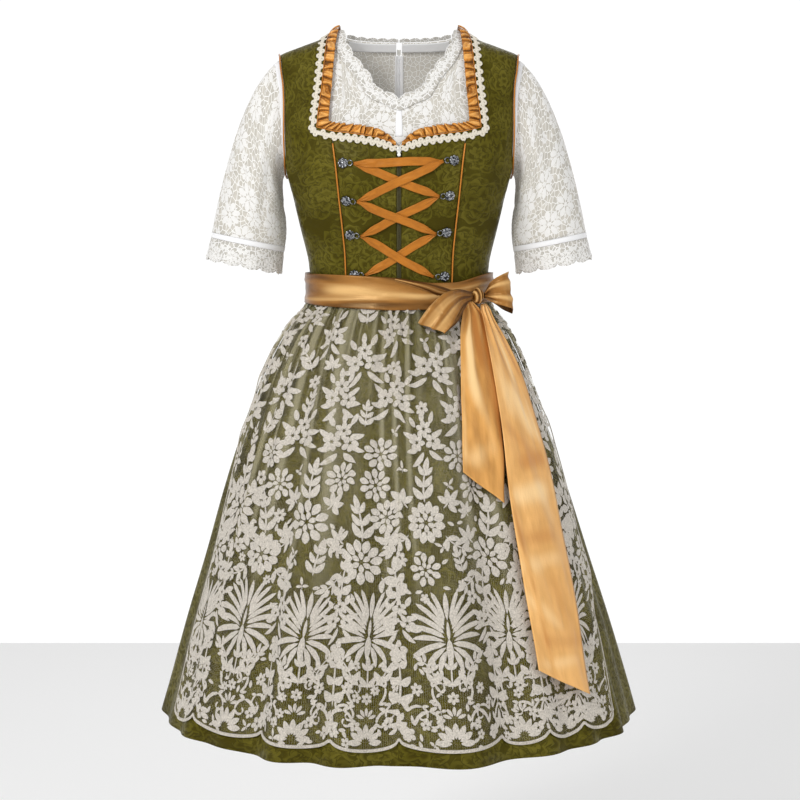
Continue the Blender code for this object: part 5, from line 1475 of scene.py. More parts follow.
def branch(length, pairs, leaf, bend=0.0, start=0.15, broad=0.44):
    """A stem that goes up from the origin with leaves on both sides and one at its tip."""
    rows = [Leaf(0, 0, 90 - bend / 2, length, leaf * 0.12, bend)]
    for i in range(pairs):
        at = mix(start, 0.90, i / max(pairs - 1, 1))
        way = math.radians(90 - bend / 2 + bend * at * 0.5)
        x, y = length * at * math.cos(way), length * at * math.sin(way)
        here = 90 - bend / 2 + bend * at
        size = leaf * (1 - 0.35 * at)
        rows.append(Leaf(x, y, here + 58, size, size * broad, -34))
        rows.append(Leaf(x, y, here - 58, size, size * broad, 34))
    return rows + [Leaf(0, length * 0.98, 90 + bend / 2, leaf * 0.85, leaf * 0.38, 0)]


def moved(design, x, y):
    return [leaf._replace(x=leaf.x + x, y=leaf.y + y) for leaf in design]


BUNCH_LEAVES = (  # turn from straight up, length
    (0, 0.30), (34, 0.34), (-38, 0.30), (82, 0.36), (-78, 0.40),
    (122, 0.42), (-126, 0.36), (158, 0.46), (-164, 0.50),
)  # fmt: skip


def bunch(size):
    """Three flowers together with leaves standing out all round them."""
    rows = []
    for x, y, petals in ((0.02, 0.27, 6), (0.23, -0.07, 5), (-0.22, -0.03, 6)):
        rows += moved(flower(size * 0.235, petals, 90 + 40 * x / 0.2), x * size, y * size)
    for turn, long in BUNCH_LEAVES:
        way = math.radians(90 - turn)
        away = size * (0.44 if abs(turn) < 60 else 0.30)
        x, y = away * math.cos(way) * 0.8, away * math.sin(way)
        rows.append(Leaf(x, y, 90 - turn * 0.94, size * long, size * 0.148, 0.25 * turn))
    return rows


def palmette(radius):
    """A fountain: feathers curve out from both sides of a rib, broad leaves droop under them."""
    rows = [petal(0, 0.36 * radius, 90, radius * 0.64, radius * 0.13)]
    rows.append(Leaf(0, -0.10 * radius, 90, radius * 0.44, radius * 0.085, 0))
    rows.append(Leaf(0, -0.06 * radius, 270, radius * 0.62, radius * 0.16, 0))
    for side in (-1, 1):
        for i in range(6):
            s = i / 5
            x, y = side * (0.075 + 0.03 * s) * radius, (0.34 - 0.46 * s) * radius
            long = radius * (0.66 + 0.24 * math.sin(math.pi * (0.10 + 0.75 * s)))
            wide, bend = radius * (0.105 + 0.02 * s), -side * (22 + 28 * s)
            rows.append(petal(x, y, 90 - side * (10 + 52 * s), long, wide, bend))
        for turn, long, bend in ((92, 0.86, 44), (118, 0.72, 40), (146, 0.54, 30)):
            low = 0.17 + 0.16 * (turn - 92) / 54
            x, y = side * 0.08 * radius, -low * radius
            rows.append(Leaf(x, y, 90 - side * turn, radius * long, radius * 0.135, -side * bend))
    return rows


def lobed_leaf(size, lobes=5, lean=0.0):
    """A broad leaf cut in pointed lobes on a short stem."""
    rows = [Leaf(0, 0, 90, size * 0.42, size * 0.07, lean)]
    for i in range(lobes):
        t = 2 * i / (lobes - 1) - 1
        long = size * (0.66 - 0.18 * abs(t))
        x, y = size * 0.03 * t, size * (0.34 - 0.10 * abs(t))
        rows.append(Leaf(x, y, 90 + lean / 2 - 82 * t, long, size * 0.25, -18 * t))
    return rows


def scroll(size, hand=1):
    """A broad band that curls up into a spiral, with a leaf at each turn."""
    rows, x, y, heading = [], 0.0, 0.0, 90.0
    for part, (length, bend) in enumerate(((1.0, 80), (0.70, 105), (0.48, 120), (0.28, 130))):
        long = size * length
        rows.append(Leaf(x, y, heading, long * 1.03, size * (0.155 - 0.02 * part), hand * bend))
        if part < 3:
            rows.append(Leaf(x, y, heading - hand * 40, size * (0.46 - 0.06 * part), size * 0.18, hand * 30))
        for _ in range(LEAF_STEPS):
            heading += hand * bend / (2 * LEAF_STEPS)
            x += long / LEAF_STEPS * math.cos(math.radians(heading))
            y += long / LEAF_STEPS * math.sin(math.radians(heading))
            heading += hand * bend / (2 * LEAF_STEPS)
    return rows


# %% The layout on the apron
chance = random.Random(7)
APRON_TOP = apron.v[-1]


class Layout:
    """Remembers the round places on a cloth that are taken."""

    def __init__(self, cloth):
        self.cloth, self.table, self.count = cloth, np.zeros((9000, 4)), 0

    def spot(self, u, v, dx=0.0, dy=0.0):
        """The point dx across and dy up from shares u and v."""
        mu, mv = self.cloth.scale(np.array([u]), np.array([v]))
        return self.cloth.at(np.array([u + dx / mu[0]]), np.array([v + dy / mv[0]]))[0]

    def free(self, u, v, radius):
        taken = self.table[: self.count]
        away = np.linalg.norm(taken[:, :3] - self.spot(u, v), axis=1)
        return bool((away > taken[:, 3] + radius).all())

    def take(self, u, v, radius, dx=0.0, dy=0.0):
        self.table[self.count] = (*self.spot(u, v, dx, dy), radius)
        self.count += 1


def scatter(stitches, layout, table, seed, edge=0.0):
    """Lays designs where they find room. A row is what, its radius, from and to height share, tries."""
    dice = random.Random(seed)
    for make, radius, low, high, tries in table:
        for _ in range(tries):
            u, v, turn = dice.random(), mix(low, high, dice.random()), dice.uniform(0, 360)
            if edge < u < 1 - edge and layout.free(u, v, radius * 0.9):
                stitches.add(make(radius), u, v, turn)
                layout.take(u, v, radius)


def column_of(angle):
    """The share across the apron's hem at this angle."""
    return float(np.interp(angle, apron_angles[0], np.linspace(0, 1, apron_angles.shape[1])))


border, flowers, layout = Stitches(apron, 0.00035), Stitches(apron, 0.00035), Layout(apron)
lobes = list(zip(APRON_CUSPS, APRON_CUSPS[1:]))
up_share = 1 / APRON_TOP


def put(stitches, design, u, height, turn=0.0, taken=()):
    """Lays a design with its origin at a height in metres and marks the round places it takes."""
    stitches.add(design, u, height * up_share, turn)
    spin = math.radians(turn)
    for x, y, radius in taken:
        px, py = x * math.cos(spin) - y * math.sin(spin), x * math.sin(spin) + y * math.cos(spin)
        layout.take(u, height * up_share, radius, px, py)


def border_lobe(middle, wide, number):
    """One scallop: a shell of petals between scrolls and flowers, with a fountain above them."""
    size = 0.74 + 0.26 * min(wide / 0.12, 1.0)
    metre = 1 / apron.u[-1]
    shell = whorl(7, 0.006 * size, 0.028 * size, 0.0092 * size, 0, 180)
    fan = whorl(5, 0.004 * size, 0.017 * size, 0.0052 * size, 18, 144)
    for design, height, taken in (
        (shell, 0.0130, [(0, 0.014 * size, 0.017 * size)]),
        (fan, 0.046, [(0, 0.010, 0.011 * size)]),
        (flower(0.0090 * size, 6), 0.074, [(0, 0, 0.0085)]),
        (branch(0.030, 2, 0.020), 0.086, [(0, 0.012, 0.010), (0, 0.024, 0.010)]),
    ):
        put(border, design, middle, height, 0, taken)
    for hand in (-1, 1):
        twig = ((hand * 0.014, 0.012, 0.012), (hand * 0.030, 0.020, 0.010))
        low, over, high = (
            scroll(long * size, way * hand) for long, way in ((0.032, 1), (0.027, -1), (0.026, 1))
        )
        for design, aside, height, turn, taken in (
            (flower(0.0110 * size, 5), 0.040 * size, 0.0190, 30, [(0, 0, 0.011 * size)]),
            (low, 0.034 * size, 0.033, 4 * hand, [(-hand * 0.012, 0.018, 0.017 * size)]),
            (over, 0.042 * size, 0.050, -24 * hand, [(hand * 0.015, 0.014, 0.014 * size)]),
            (flower(0.0090 * size, 5), 0.060 * size, 0.036, 10, [(0, 0, 0.009 * size)]),
            (high, 0.012 * size, 0.066, -62 * hand, [(hand * 0.020, 0.014, 0.013 * size)]),
            (branch(0.040 * size, 3, 0.021, -66 * hand), 0.014, 0.090, -30 * hand, twig),
            (flower(0.0100 * size, 6), 0.052 * size, 0.084, 15, [(0, 0, 0.010 * size)]),
        ):
            put(border, design, middle + hand * aside * metre, height, turn, taken)
    big, heart = 0.060 * size, 0.160 + 0.006 * (number % 2)
    taken = ((0, 0, big * 0.55), (0, big * 0.6, big * 0.46), (0, -big * 0.4, big * 0.34))
    put(border, palmette(big), middle, heart, chance.uniform(-5, 5), taken)
    for hand in (-1, 1):
        layout.take(middle, heart * up_share, big * 0.40, hand * big * 0.60, big * 0.30)
        layout.take(middle, heart * up_share, big * 0.36, hand * big * 0.62, -big * 0.30)


for number, (a, b) in enumerate(lobes):
    border_lobe(column_of((a + b) / 2), (b - a) / 180 * math.pi * 0.335, number)
    if number:
        cusp = column_of(a)
        put(border, lobed_leaf(0.028, 5), cusp, 0.014, 0, [(0, 0.015, 0.013)])
        sprig = branch(0.060, 3, 0.027, chance.uniform(-20, 20))
        put(border, sprig, cusp, 0.050, 0, [(0, 0.02, 0.018), (0, 0.045, 0.018)])
        put(border, flower(0.0135, 5), cusp, 0.132, 20 * number, [(0, 0, 0.0135)])
        put(border, bunch(0.050), cusp, 0.178, chance.uniform(-12, 12), [(0, 0, 0.026)])
        sprig, turn = branch(0.044, 3, 0.024, chance.uniform(-30, 30)), chance.uniform(-8, 8)
        put(border, sprig, cusp, 0.204, turn, [(0, 0.016, 0.016), (0, 0.036, 0.016)])

BLOSSOMS, EMBROIDERY_TOP = 10, 0.655
for number in range(BLOSSOMS):
    u = (number + 0.5 + chance.uniform(-0.10, 0.10)) / BLOSSOMS
    height = 0.262 + 0.056 * (number % 2) + chance.uniform(-0.006, 0.006)
    radius = chance.uniform(0.026, 0.033)
    put(flowers, rosette(radius, 10 + number % 3), u, height, chance.uniform(0, 30), [(0, 0, radius)])
    sprig, turn = branch(0.044, 3, 0.026, 26 * (-1) ** number), chance.uniform(-14, 14)
    put(flowers, sprig, u, height + radius * 0.9, turn, [(0, 0.018, 0.016), (0, 0.042, 0.018)])
    for hand in (-1, 1):
        beside = u + hand * radius * 0.70 / apron.u[-1]
        leaf, sprig = lobed_leaf(0.036, 5, 20 * hand), branch(0.034, 3, 0.020, 40 * hand)
        put(flowers, leaf, beside, height + radius * 0.62, -52 * hand, [(0, 0.016, 0.012)])
        put(flowers, sprig, beside, height - radius * 0.62, -128 * hand, [(0, 0.018, 0.012)])
print("placed by hand", len(border.rows) + len(flowers.rows))

SCATTER = (  # what, radius, from and to height, how much more room it wants up at the waist, tries
    ("rosette", 0.0240, 0.225, 0.420, 0.10, 260), ("bunch", 0.0300, 0.330, 0.600, 0.10, 900),
    ("bunch", 0.0240, 0.200, 0.630, 0.10, 1200), ("spray", 0.0220, 0.200, 0.625, 0.10, 1200),
    ("spray", 0.0170, 0.090, 0.635, 0.15, 1100), ("lobed", 0.0150, 0.080, 0.630, 0.15, 900),
    ("small", 0.0115, 0.060, 0.645, 0.30, 1100), ("lobed", 0.0100, 0.012, 0.640, 0.30, 2200),
    ("small", 0.0075, 0.010, 0.300, 0.30, 1800), ("leaf", 0.0050, 0.006, 0.320, 1.0, 3200),
)  # fmt: skip
for kind, radius, low, high, sparse, tries in SCATTER:
    for _ in range(tries):
        y = mix(low, high, chance.random())
        spread = radius * (1 + sparse * max(0.0, (y - 0.26) / 0.38))
        u, turned = chance.uniform(0.012, 0.988), chance.random()
        room = radius * 0.8 / apron.u[-1]
        inside = room < u < 1 - room and y + radius <= EMBROIDERY_TOP
        if not (inside and layout.free(u, y * up_share, spread * 0.77)):
            continue
        lean = (u - 0.5) * -24 + (turned - 0.5) * 70
        stitches = border if y < 0.25 else flowers
        if kind == "rosette":
            put(stitches, rosette(radius, 9 + int(turned * 3)), u, y, lean)
        elif kind == "bunch":
            put(stitches, bunch(radius * 1.95), u, y, lean * 0.7)
        elif kind == "spray":
            design = branch(radius * 1.6, 3, radius * 1.0, (turned - 0.5) * 80)
            put(stitches, moved(design, 0, -radius * 0.95), u, y, lean)
        elif kind == "small":
            put(stitches, flower(radius * 0.98, 5 + int(turned * 3)), u, y, lean)
        elif kind == "lobed":
            design = lobed_leaf(radius * 1.8, 5 if radius > 0.012 else 3, (turned - 0.5) * 40)
            put(stitches, moved(design, 0, -radius * 0.85), u, y, lean * 2.2)
        else:
            bend = (turned - 0.5) * 60
            design = [Leaf(0, -radius, 90 + bend, radius * 2.2, radius * 1.05, bend)]
            put(stitches, design, u, y, lean * 2)
        layout.take(u, y * up_share, spread)
for stitches, name in ((border, "apron_border"), (flowers, "apron_flowers")):
    stitches.sew(name, EMBROIDERY, "embroidered_tulle")

# %% The corded edge of the apron
edge = []
for height, radius in ((0.0011, 0.0010), (0.0024, 0.0011), (0.0038, 0.0010)):
    u = np.linspace(0.001, 0.999, 560)
    edge.append(tube(apron.at(u, height * up_share, 0.0001), radius, 6))
for side_u in (0.0015, 0.9985):
    edge.append(tube(apron.at(side_u, np.linspace(0.002, 0.985, 160), 0.0002), 0.0007, 6))
corded = mesh_of("apron_edge_cord", edge)
add_piece("apron_edge_cord", corded, EMBROIDERY)

# %% [markdown]
# ## Sash and bow
#
# A satin band holds the apron and ties at the side in a one-sided bow. Satin creases along its
# length where it is pulled, and every crease runs to the knot.

# %% Sash
SASH_OUT = 0.0075
SASH = (  # width, top edge, bottom edge
    (-0.140, -0.3605, -0.4055), (-0.108, -0.3615, -0.4105), (-0.055, -0.3635, -0.4144),
    (-0.006, -0.3665, -0.4168), (0.050, -0.3740, -0.4150), (0.075, -0.3735, -0.4120),
    (0.130, -0.3600, -0.4055), (0.140, -0.3600, -0.4055),
)  # fmt: skip
SASH_FOLDS = (  # height share at the left, at the knot, at the right, width, height, wobble
    (0.16, 0.40, 0.24, 0.075, 0.0017, 1.0), (0.50, 0.55, 0.50, 0.110, 0.0016, 2.3),
    (0.80, 0.68, 0.78, 0.075, 0.0017, 3.9), (0.95, 0.82, 0.90, 0.045, 0.0008, 5.1),
)  # fmt: skip
# Patches of painted light on the sash: a positive tone paints a highlight, a negative one a shade.
SASH_SHADES = (  # round in degrees, height share, tilt, spread round, spread up, tone
    (-78, 0.55, 0.0, 22, 0.30, -0.75), (-30, 0.58, 0.15, 26, 0.26, 0.85),
    (-52, 0.90, -0.3, 30, 0.10, -0.45), (-12, 0.16, 0.2, 34, 0.09, -0.70), (2, 0.93, -0.3, 16, 0.12, -0.55),
    (12, 0.42, -0.5, 13, 0.16, 0.30), (20, 0.78, -0.9, 15, 0.10, -0.85), (31, 0.30, 0.5, 12, 0.13, -0.80),
    (36, 0.62, -0.7, 12, 0.07, 0.45), (48, 0.45, -0.4, 14, 0.10, -0.70), (-64, 0.22, 0.2, 18, 0.12, 0.35),
    (75, 0.60, 0.0, 16, 0.25, -0.50), (130, 0.50, 0.1, 26, 0.22, 0.50), (170, 0.30, -0.1, 24, 0.15, -0.60),
    (205, 0.62, 0.1, 28, 0.20, 0.55), (245, 0.40, 0.0, 20, 0.20, -0.55),
)  # fmt: skip
read_sash = reader(SASH)
KNOT_ANGLE = 56
angle, up = np.meshgrid(np.linspace(0, 360, 241)[:-1], np.linspace(0, 1, 22))
x = girth(angle[0], np.full(240, WAIST), folded=False)[:, 0]
top, bottom = read_sash(x)
blend_back = eased(np.cos(np.radians(angle[0])), -0.06, 0.06)
top, bottom = mix(-0.3605, top, blend_back), mix(-0.4070, bottom, blend_back)
near = np.exp(-(((angle - KNOT_ANGLE + 180) % 360 - 180) / 26) ** 2)
relief = 0.0
for left, knot, right, width, height, phase in SASH_FOLDS:
    place = mix(left, right, (np.sin(np.radians(angle) + phase) + 1) / 2)
    place = mix(place + 0.05 * np.sin(np.radians(angle * 3) + phase * 2), knot, near)
    strength = 0.55 + 0.45 * np.sin(np.radians(angle * 2) + phase * 3)
    relief = relief + height * strength * np.exp(-(((up - place) / width) ** 2))
relief = relief + 0.0010 * np.sin(math.pi * up) + near * 0.0006 * np.cos(2 * math.pi * 4 * up)
# tone is painted light: lighter on the raised creases and darker between them, plus the patches of
# SASH_SHADES.
tone = 380 * (relief - relief.mean())
for place, height, tilt, wide, high, value in SASH_SHADES:
    aside = (angle - place + 180) % 360 - 180
    tone = tone + value * np.exp(-((aside / wide) ** 2) - ((up - height - tilt * aside / 60) / high) ** 2)
sash = Cloth(girth(angle, mix(bottom, top, up), SASH_OUT + relief, folded=False), tube=True)
add_sheet("sash_band", sash, SATIN, "amber_satin", wall=0.0008, tone=np.clip(tone, -1, 1))
CROSSING = (
    (-0.0057, -0.3675, -0.3705), (0.0187, -0.3720, -0.3785), (0.0400, -0.3750, -0.3870),
    (0.0580, -0.3790, -0.3965), (0.0765, -0.3870, -0.3980), (0.0910, -0.3915, -0.3985),
)  # fmt: skip
share, up = grid_of(90, 18)
x = mix(CROSSING[0][0], CROSSING[-1][0], share)
top, bottom = reader(CROSSING)(x)
lift = SASH_OUT + 0.0030 + 0.0010 * np.sin(math.pi * up)
lift = lift + 0.0006 * np.cos(2 * math.pi * (2.2 * up + share * 0.6)) * eased(share, 0.05, 0.4)
crossing = Cloth(on_body(x, mix(bottom, top, up), FRONT, lift))
# tone is painted light: bands of highlight and shade across the crossing, darker toward the knot.
tone = 0.7 * np.cos(2 * math.pi * (1.3 * up + share * 0.5)) - 0.5 * share
add_sheet("sash_crossing", crossing, SATIN, "amber_satin", wall=0.0006, tone=tone)

# %% Loops of the bow
LOOP_LEFT = (  # the two edges of the ribbon on its way out and back, and its depth
    (0.1062, -0.3880, 0.1062, -0.3978, -0.0942), (0.0850, -0.3830, 0.0905, -0.4075, -0.1130),
    (0.0680, -0.3865, 0.0830, -0.4190, -0.1290), (0.0454, -0.4043, 0.0751, -0.4330, -0.1410),
    (0.0270, -0.4298, 0.0653, -0.4440, -0.1430), (0.0300, -0.4310, 0.0700, -0.4410, -0.1310),
    (0.0480, -0.4080, 0.0840, -0.4290, -0.1250), (0.0700, -0.3925, 0.0930, -0.4130, -0.1140),
    (0.1035, -0.3900, 0.1035, -0.3970, -0.0912),
)  # fmt: skip
LOOP_RIGHT = (
    (0.1245, -0.3875, 0.1245, -0.3970, -0.0805), (0.1321, -0.3735, 0.1380, -0.4041, -0.0870),
    (0.1466, -0.3635, 0.1540, -0.4085, -0.0900), (0.1581, -0.3585, 0.1660, -0.4130, -0.0800),
    (0.1570, -0.3600, 0.1655, -0.4200, -0.0660), (0.1450, -0.3690, 0.1530, -0.4150, -0.0590),
    (0.1350, -0.3790, 0.1385, -0.4050, -0.0620), (0.1235, -0.3895, 0.1235, -0.3965, -0.0755),
)  # fmt: skip
for name, turns, seed in (("bow_loop_left", LOOP_LEFT, 0.4), ("bow_loop_right", LOOP_RIGHT, 2.1)):
    read_loop = reader([(i, *turn) for i, turn in enumerate(turns)])
    share, way = grid_of(30, 90)
    ax, az, bx, bz, y = read_loop(way * (len(turns) - 1))
    loop = Cloth(np.stack([mix(ax, bx, share), y + 0 * share, mix(az, bz, share)], axis=-1))
    from_end = np.minimum(way, 1 - way)
    ends = np.exp(-((from_end / 0.22) ** 2))
    folds = np.cos(2 * math.pi * (2.4 * share + 0.15 * np.sin(way * 5 + seed)) + seed)
    folds += 0.5 * np.cos(2 * math.pi * (4.3 * share - 0.2 * way) + seed * 3)
    amount = 0.0012 * ends + 0.0009 * (1 - ends)
    tame = eased(from_end, 0.0, 0.10)
    loop = loop.raised(folds * amount * mix(0.35, 1.0, tame))
    # tone is painted light: highlight and shade on the folds, shade near both ends at the knot and on the
    # returning half of the loop, and a little lighter at its middle.
    tone = 0.55 * folds * mix(0.5, 1.0, ends) - 0.75 * np.exp(-((from_end / 0.12) ** 2))
    tone = np.clip(tone + 0.35 * np.sin(math.pi * way) - 1.1 * eased(way, 0.50, 0.62), -1, 1)
    item = add_sheet(name, loop, SATIN, "amber_satin", wall=0.0007, held="folded", tone=tone)
    item.modifiers["wall"].offset = 0.0

# %% Knot
KNOT_HALF, KNOT_AT, KNOT_TURN = (0.0088, 0.0088, 0.0118), (0.1140, -0.0835, -0.3935), 41
shape = bmesh.new()
bmesh.ops.create_uvsphere(shape, u_segments=64, v_segments=40, radius=1.0)
knot_mesh = bpy.data.meshes.new("bow_knot")
shape.to_mesh(knot_mesh)
shape.free()
places = np.array([v.co[:] for v in knot_mesh.vertices])
fold = 0.5 + 0.5 * np.cos(places[:, 0] * 9.0 + 1.5 * places[:, 2] + 0.6)
places *= (0.90 + 0.10 * fold)[:, None]
places *= KNOT_HALF
twist = math.radians(KNOT_TURN)
x = places[:, 0] * math.cos(twist) - places[:, 1] * math.sin(twist)
y = places[:, 0] * math.sin(twist) + places[:, 1] * math.cos(twist)
world = np.stack([x + KNOT_AT[0], y + KNOT_AT[1], places[:, 2] + KNOT_AT[2]], axis=1)
knot_mesh.vertices.foreach_set("co", world.astype(np.float32).ravel())
# Painted light on the knot: a highlight on the ridges of its folds and shade between them.
shades = knot_mesh.attributes.new("fold", "FLOAT", "POINT")
shades.data.foreach_set("value", (1.9 * fold - 1.15).astype(np.float32))
add_piece("bow_knot", knot_mesh, SATIN, ["bow_knot"])

# %% Tails
TAIL_SHORT = (  # height, left edge, right edge
    (-0.4015, 0.0950, 0.1060), (-0.4130, 0.0930, 0.1175), (-0.4220, 0.0910, 0.1235),
    (-0.4460, 0.0880, 0.1285), (-0.4900, 0.0877, 0.1355), (-0.5340, 0.0879, 0.1415),
    (-0.5900, 0.0887, 0.1468), (-0.6340, 0.0890, 0.1480), (-0.6790, 0.0890, 0.1480),
)  # fmt: skip
TAIL_LONG = (
    (-0.4050, 0.1195, 0.1265), (-0.4130, 0.1188, 0.1325), (-0.4220, 0.1215, 0.1360),
    (-0.4576, 0.1275, 0.1560), (-0.4917, 0.1335, 0.1725), (-0.5220, 0.1385, 0.1840),
    (-0.5765, 0.1455, 0.2010), (-0.6462, 0.1530, 0.2180), (-0.7104, 0.1610, 0.2311),
    (-0.7660, 0.1697, 0.2419), (-0.8496, 0.1845, 0.2548), (-0.9036, 0.1927, 0.2625),
    (-0.9475, 0.1990, 0.2689),
)  # fmt: skip
TAIL_OUT, TAIL_OUT_TOP, TAIL_OVER, TAIL_REACH = 0.0090, 0.0150, 0.0030, 0.80
SHORT_CREASES = (  # place across and up, heading, half the length, width, height
    (0.40, 0.55, 96, 0.050, 0.0050, 0.0014), (0.70, 0.35, 84, 0.060, 0.0060, -0.0012),
    (0.25, 0.25, 92, 0.040, 0.0050, 0.0010),
)  # fmt: skip
LONG_CREASES = (
    (0.35, 0.86, 100, 0.060, 0.0060, 0.0016), (0.68, 0.78, 94, 0.080, 0.0070, -0.0014),
    (0.45, 0.60, 98, 0.070, 0.0080, 0.0016), (0.20, 0.42, 92, 0.060, 0.0070, -0.0012),
    (0.70, 0.38, 97, 0.080, 0.0080, 0.0014), (0.50, 0.18, 95, 0.050, 0.0090, -0.0010),
)  # fmt: skip
# Patches of painted light on the hanging ends: a positive tone paints a highlight, a negative one a shade.
SHORT_SHADES = (  # place across and up, heading, half the length, width, tone
    (0.30, 0.62, 96, 0.075, 0.0100, 0.90), (0.62, 0.80, 90, 0.055, 0.0080, -0.90),
    (0.80, 0.55, 97, 0.080, 0.0090, -0.50), (0.22, 0.90, 84, 0.030, 0.0060, -0.60),
    (0.45, 0.30, 108, 0.040, 0.0120, -0.35), (0.40, 0.16, 60, 0.030, 0.0120, 0.55),
    (0.70, 0.30, 100, 0.035, 0.0100, 0.35), (0.93, 0.40, 92, 0.140, 0.0035, -0.70),
    (0.06, 0.30, 90, 0.080, 0.0030, 0.45),
)  # fmt: skip
LONG_SHADES = (
    (0.30, 0.90, 104, 0.040, 0.0070, -0.85), (0.55, 0.86, 100, 0.050, 0.0080, 0.85),
    (0.80, 0.86, 104, 0.050, 0.0070, -0.55), (0.20, 0.76, 102, 0.050, 0.0100, 0.55),
    (0.60, 0.70, 112, 0.045, 0.0150, 0.80), (0.30, 0.63, 140, 0.035, 0.0130, -0.55),
    (0.62, 0.57, 18, 0.035, 0.0150, -0.80), (0.40, 0.48, 24, 0.040, 0.0160, 0.80),
    (0.75, 0.44, 105, 0.040, 0.0110, 0.35), (0.50, 0.37, 20, 0.036, 0.0130, -0.60),
    (0.40, 0.30, 28, 0.040, 0.0150, 0.65), (0.62, 0.23, 100, 0.050, 0.0130, -0.40),
    (0.30, 0.17, 150, 0.036, 0.0140, 0.55), (0.60, 0.11, 20, 0.040, 0.0120, -0.50),
    (0.45, 0.05, 30, 0.040, 0.0100, 0.55), (0.03, 0.45, 95, 0.260, 0.0035, -0.75),
    (0.97, 0.50, 95, 0.260, 0.0030, 0.40),
)  # fmt: skip
for name, material, strips, ends, creases, shades, over in (
    ("bow_tail_short", TAIL_SATIN, TAIL_SHORT, (-0.634, -0.679), SHORT_CREASES, SHORT_SHADES, 0.0),
    ("bow_tail_long", LONG_SATIN, TAIL_LONG, (-0.9036, -0.9475), LONG_CREASES, LONG_SHADES, TAIL_OVER),
):
    share, up = grid_of(28, 110)
    z = mix(mix(*ends, share), strips[0][0], up)
    left, right = reader(strips)(z)
    x = mix(left, right, share)
    highest = np.maximum.reduce([fold_height(float(angle), z) for angle in range(20, 66, 2)])
    free = mix(TAIL_OUT_TOP, TAIL_OUT, eased(z, strips[0][0], -0.440))
    pleats = np.cos(2 * math.pi * (2.6 * share + 0.2)) * (1 - eased(-z, 0.4065, 0.560)) * 0.0013
    pleats = pleats + 0.0008 * np.cos(2 * math.pi * (1.3 * share + 3.1 * up)) * eased(-z, 0.44, 0.56)
    held = np.minimum(x, TAIL_REACH * read_ring(z)[1])
    y = body_depth(held, z, FRONT)
    normal = outward(np.stack([held, y, z], axis=-1))
    slope = -normal[..., 0] / normal[..., 1]
    deep = y + slope * (x - held) - (np.maximum(free, TAIL_OUT) + highest + over) / np.abs(normal[..., 1])
    tail = Cloth(np.stack([x, deep, z], axis=-1))
    # tone is painted light: the patches of the tables, and highlight and shade on the pleats near the knot.
    tone = np.clip(crease(tail, shades) + 480 * pleats * (1 - eased(-z, 0.45, 0.56)), -1, 1)
    tail = tail.raised(pleats + crease(tail, creases))
    add_sheet(name, tail, material, "amber_satin", wall=0.0007, held="hung", tone=tone)

# %% [markdown]
# ## Blouse
#
# A short blouse of corded lace is worn under the dress: the lace shows above the neckline, in the
# armholes and on the sleeves. The ground is a net with open holes, so whatever lies behind it shows
# through, and the flowers are raised in thicker thread.

# %% Blouse body
BLOUSE_HEM, BLOUSE_OUT, BLOUSE_MARGIN = -0.300, -0.0059, 0.005
BLOUSE_ZIP_EDGE, BLOUSE_ARMPIT = 0.0042, ARMPIT + 0.005
BLOUSE_FRONT_NECK = (
    (0.0000, -0.1130), (0.0127, -0.1060), (0.0342, -0.0970), (0.0472, -0.0730),
    (0.0680, -0.0480), (0.0800, -0.0240), (0.0862, 0.0000),
)  # fmt: skip
BLOUSE_BACK_NECK = ((0.0000, -0.0150), (0.0400, -0.0140), (0.0700, -0.0115), (0.0862, -0.0080))
read_blouse_front, read_blouse_back = reader(BLOUSE_FRONT_NECK), reader(BLOUSE_BACK_NECK)


def blouse_x(level):
    return outer_x(level, BLOUSE_MARGIN, BLOUSE_ARMPIT)


def blouse_grid(shares, rows, side, read_neck, centre=0.0):
    share, up = np.meshgrid(shares, np.linspace(0, 1, rows))
    width = np.maximum(float(blouse_x(0.0)) * np.abs(share[0]), centre)
    inner = width < BLOUSE_FRONT_NECK[-1][0]
    top = np.where(inner, level_at(width, read_neck(width)[0], side), 0.0)
    level = mix(BLOUSE_HEM, top, up)
    x = np.maximum(across(0.0, blouse_x(level), np.abs(share), level), centre)
    sign = np.where(share < 0, -1, 1)
    return on_body(sign * x, level, side, BLOUSE_OUT)


neck_share = BLOUSE_FRONT_NECK[-1][0] / float(blouse_x(0.0))
half = stacked(0.0, 20, neck_share - 0.02, 3, neck_share + 0.002, 16, 1.0)
front_blouse = Cloth(blouse_grid(np.concatenate([-half[::-1], half[1:]]), 46, FRONT, read_blouse_front))
add_sheet("blouse_front", front_blouse, LACE_NET, "white_lace", wall=0.0005)
back_blouse = Cloth(blouse_grid(half, 46, BACK, read_blouse_back, BLOUSE_ZIP_EDGE)[:, ::-1])
add_pair("blouse_back_", back_blouse, LACE_NET, "white_lace", wall=0.0005)

# %% Sleeves: a curve from the armhole to the cuff for every line of the cloth
CUFF_AT, CUFF_AXIS = np.array([0.2236, 0.0, -0.3120]), np.array([0.196, 0.0, -0.981])
CUFF_ACROSS = np.array([0.981, 0.0, 0.196])
CUFF_AXIS, CUFF_ACROSS = CUFF_AXIS / np.linalg.norm(CUFF_AXIS), CUFF_ACROSS / np.linalg.norm(CUFF_ACROSS)
CUFF_RADIUS_X, CUFF_RADIUS_Y = 0.0549, 0.0600
CAP_TOP, CAP_BOTTOM = np.array([0.045, 0.0, -0.030]), np.array([0.027, 0.0, 0.002])
CAP_FALL_TOP, CAP_FALL_BOTTOM = 0.120, 0.050


def cuff_points(turn, down, grow=0.0):
    turn, down, grow = (np.asarray(a, float)[..., None] for a in np.broadcast_arrays(turn, down, grow))
    across_way = CUFF_ACROSS * np.cos(turn) * (CUFF_RADIUS_X + grow)
    forward = np.array([0.0, -1.0, 0.0]) * np.sin(turn) * (CUFF_RADIUS_Y + grow)
    return CUFF_AT + across_way + forward + CUFF_AXIS * down


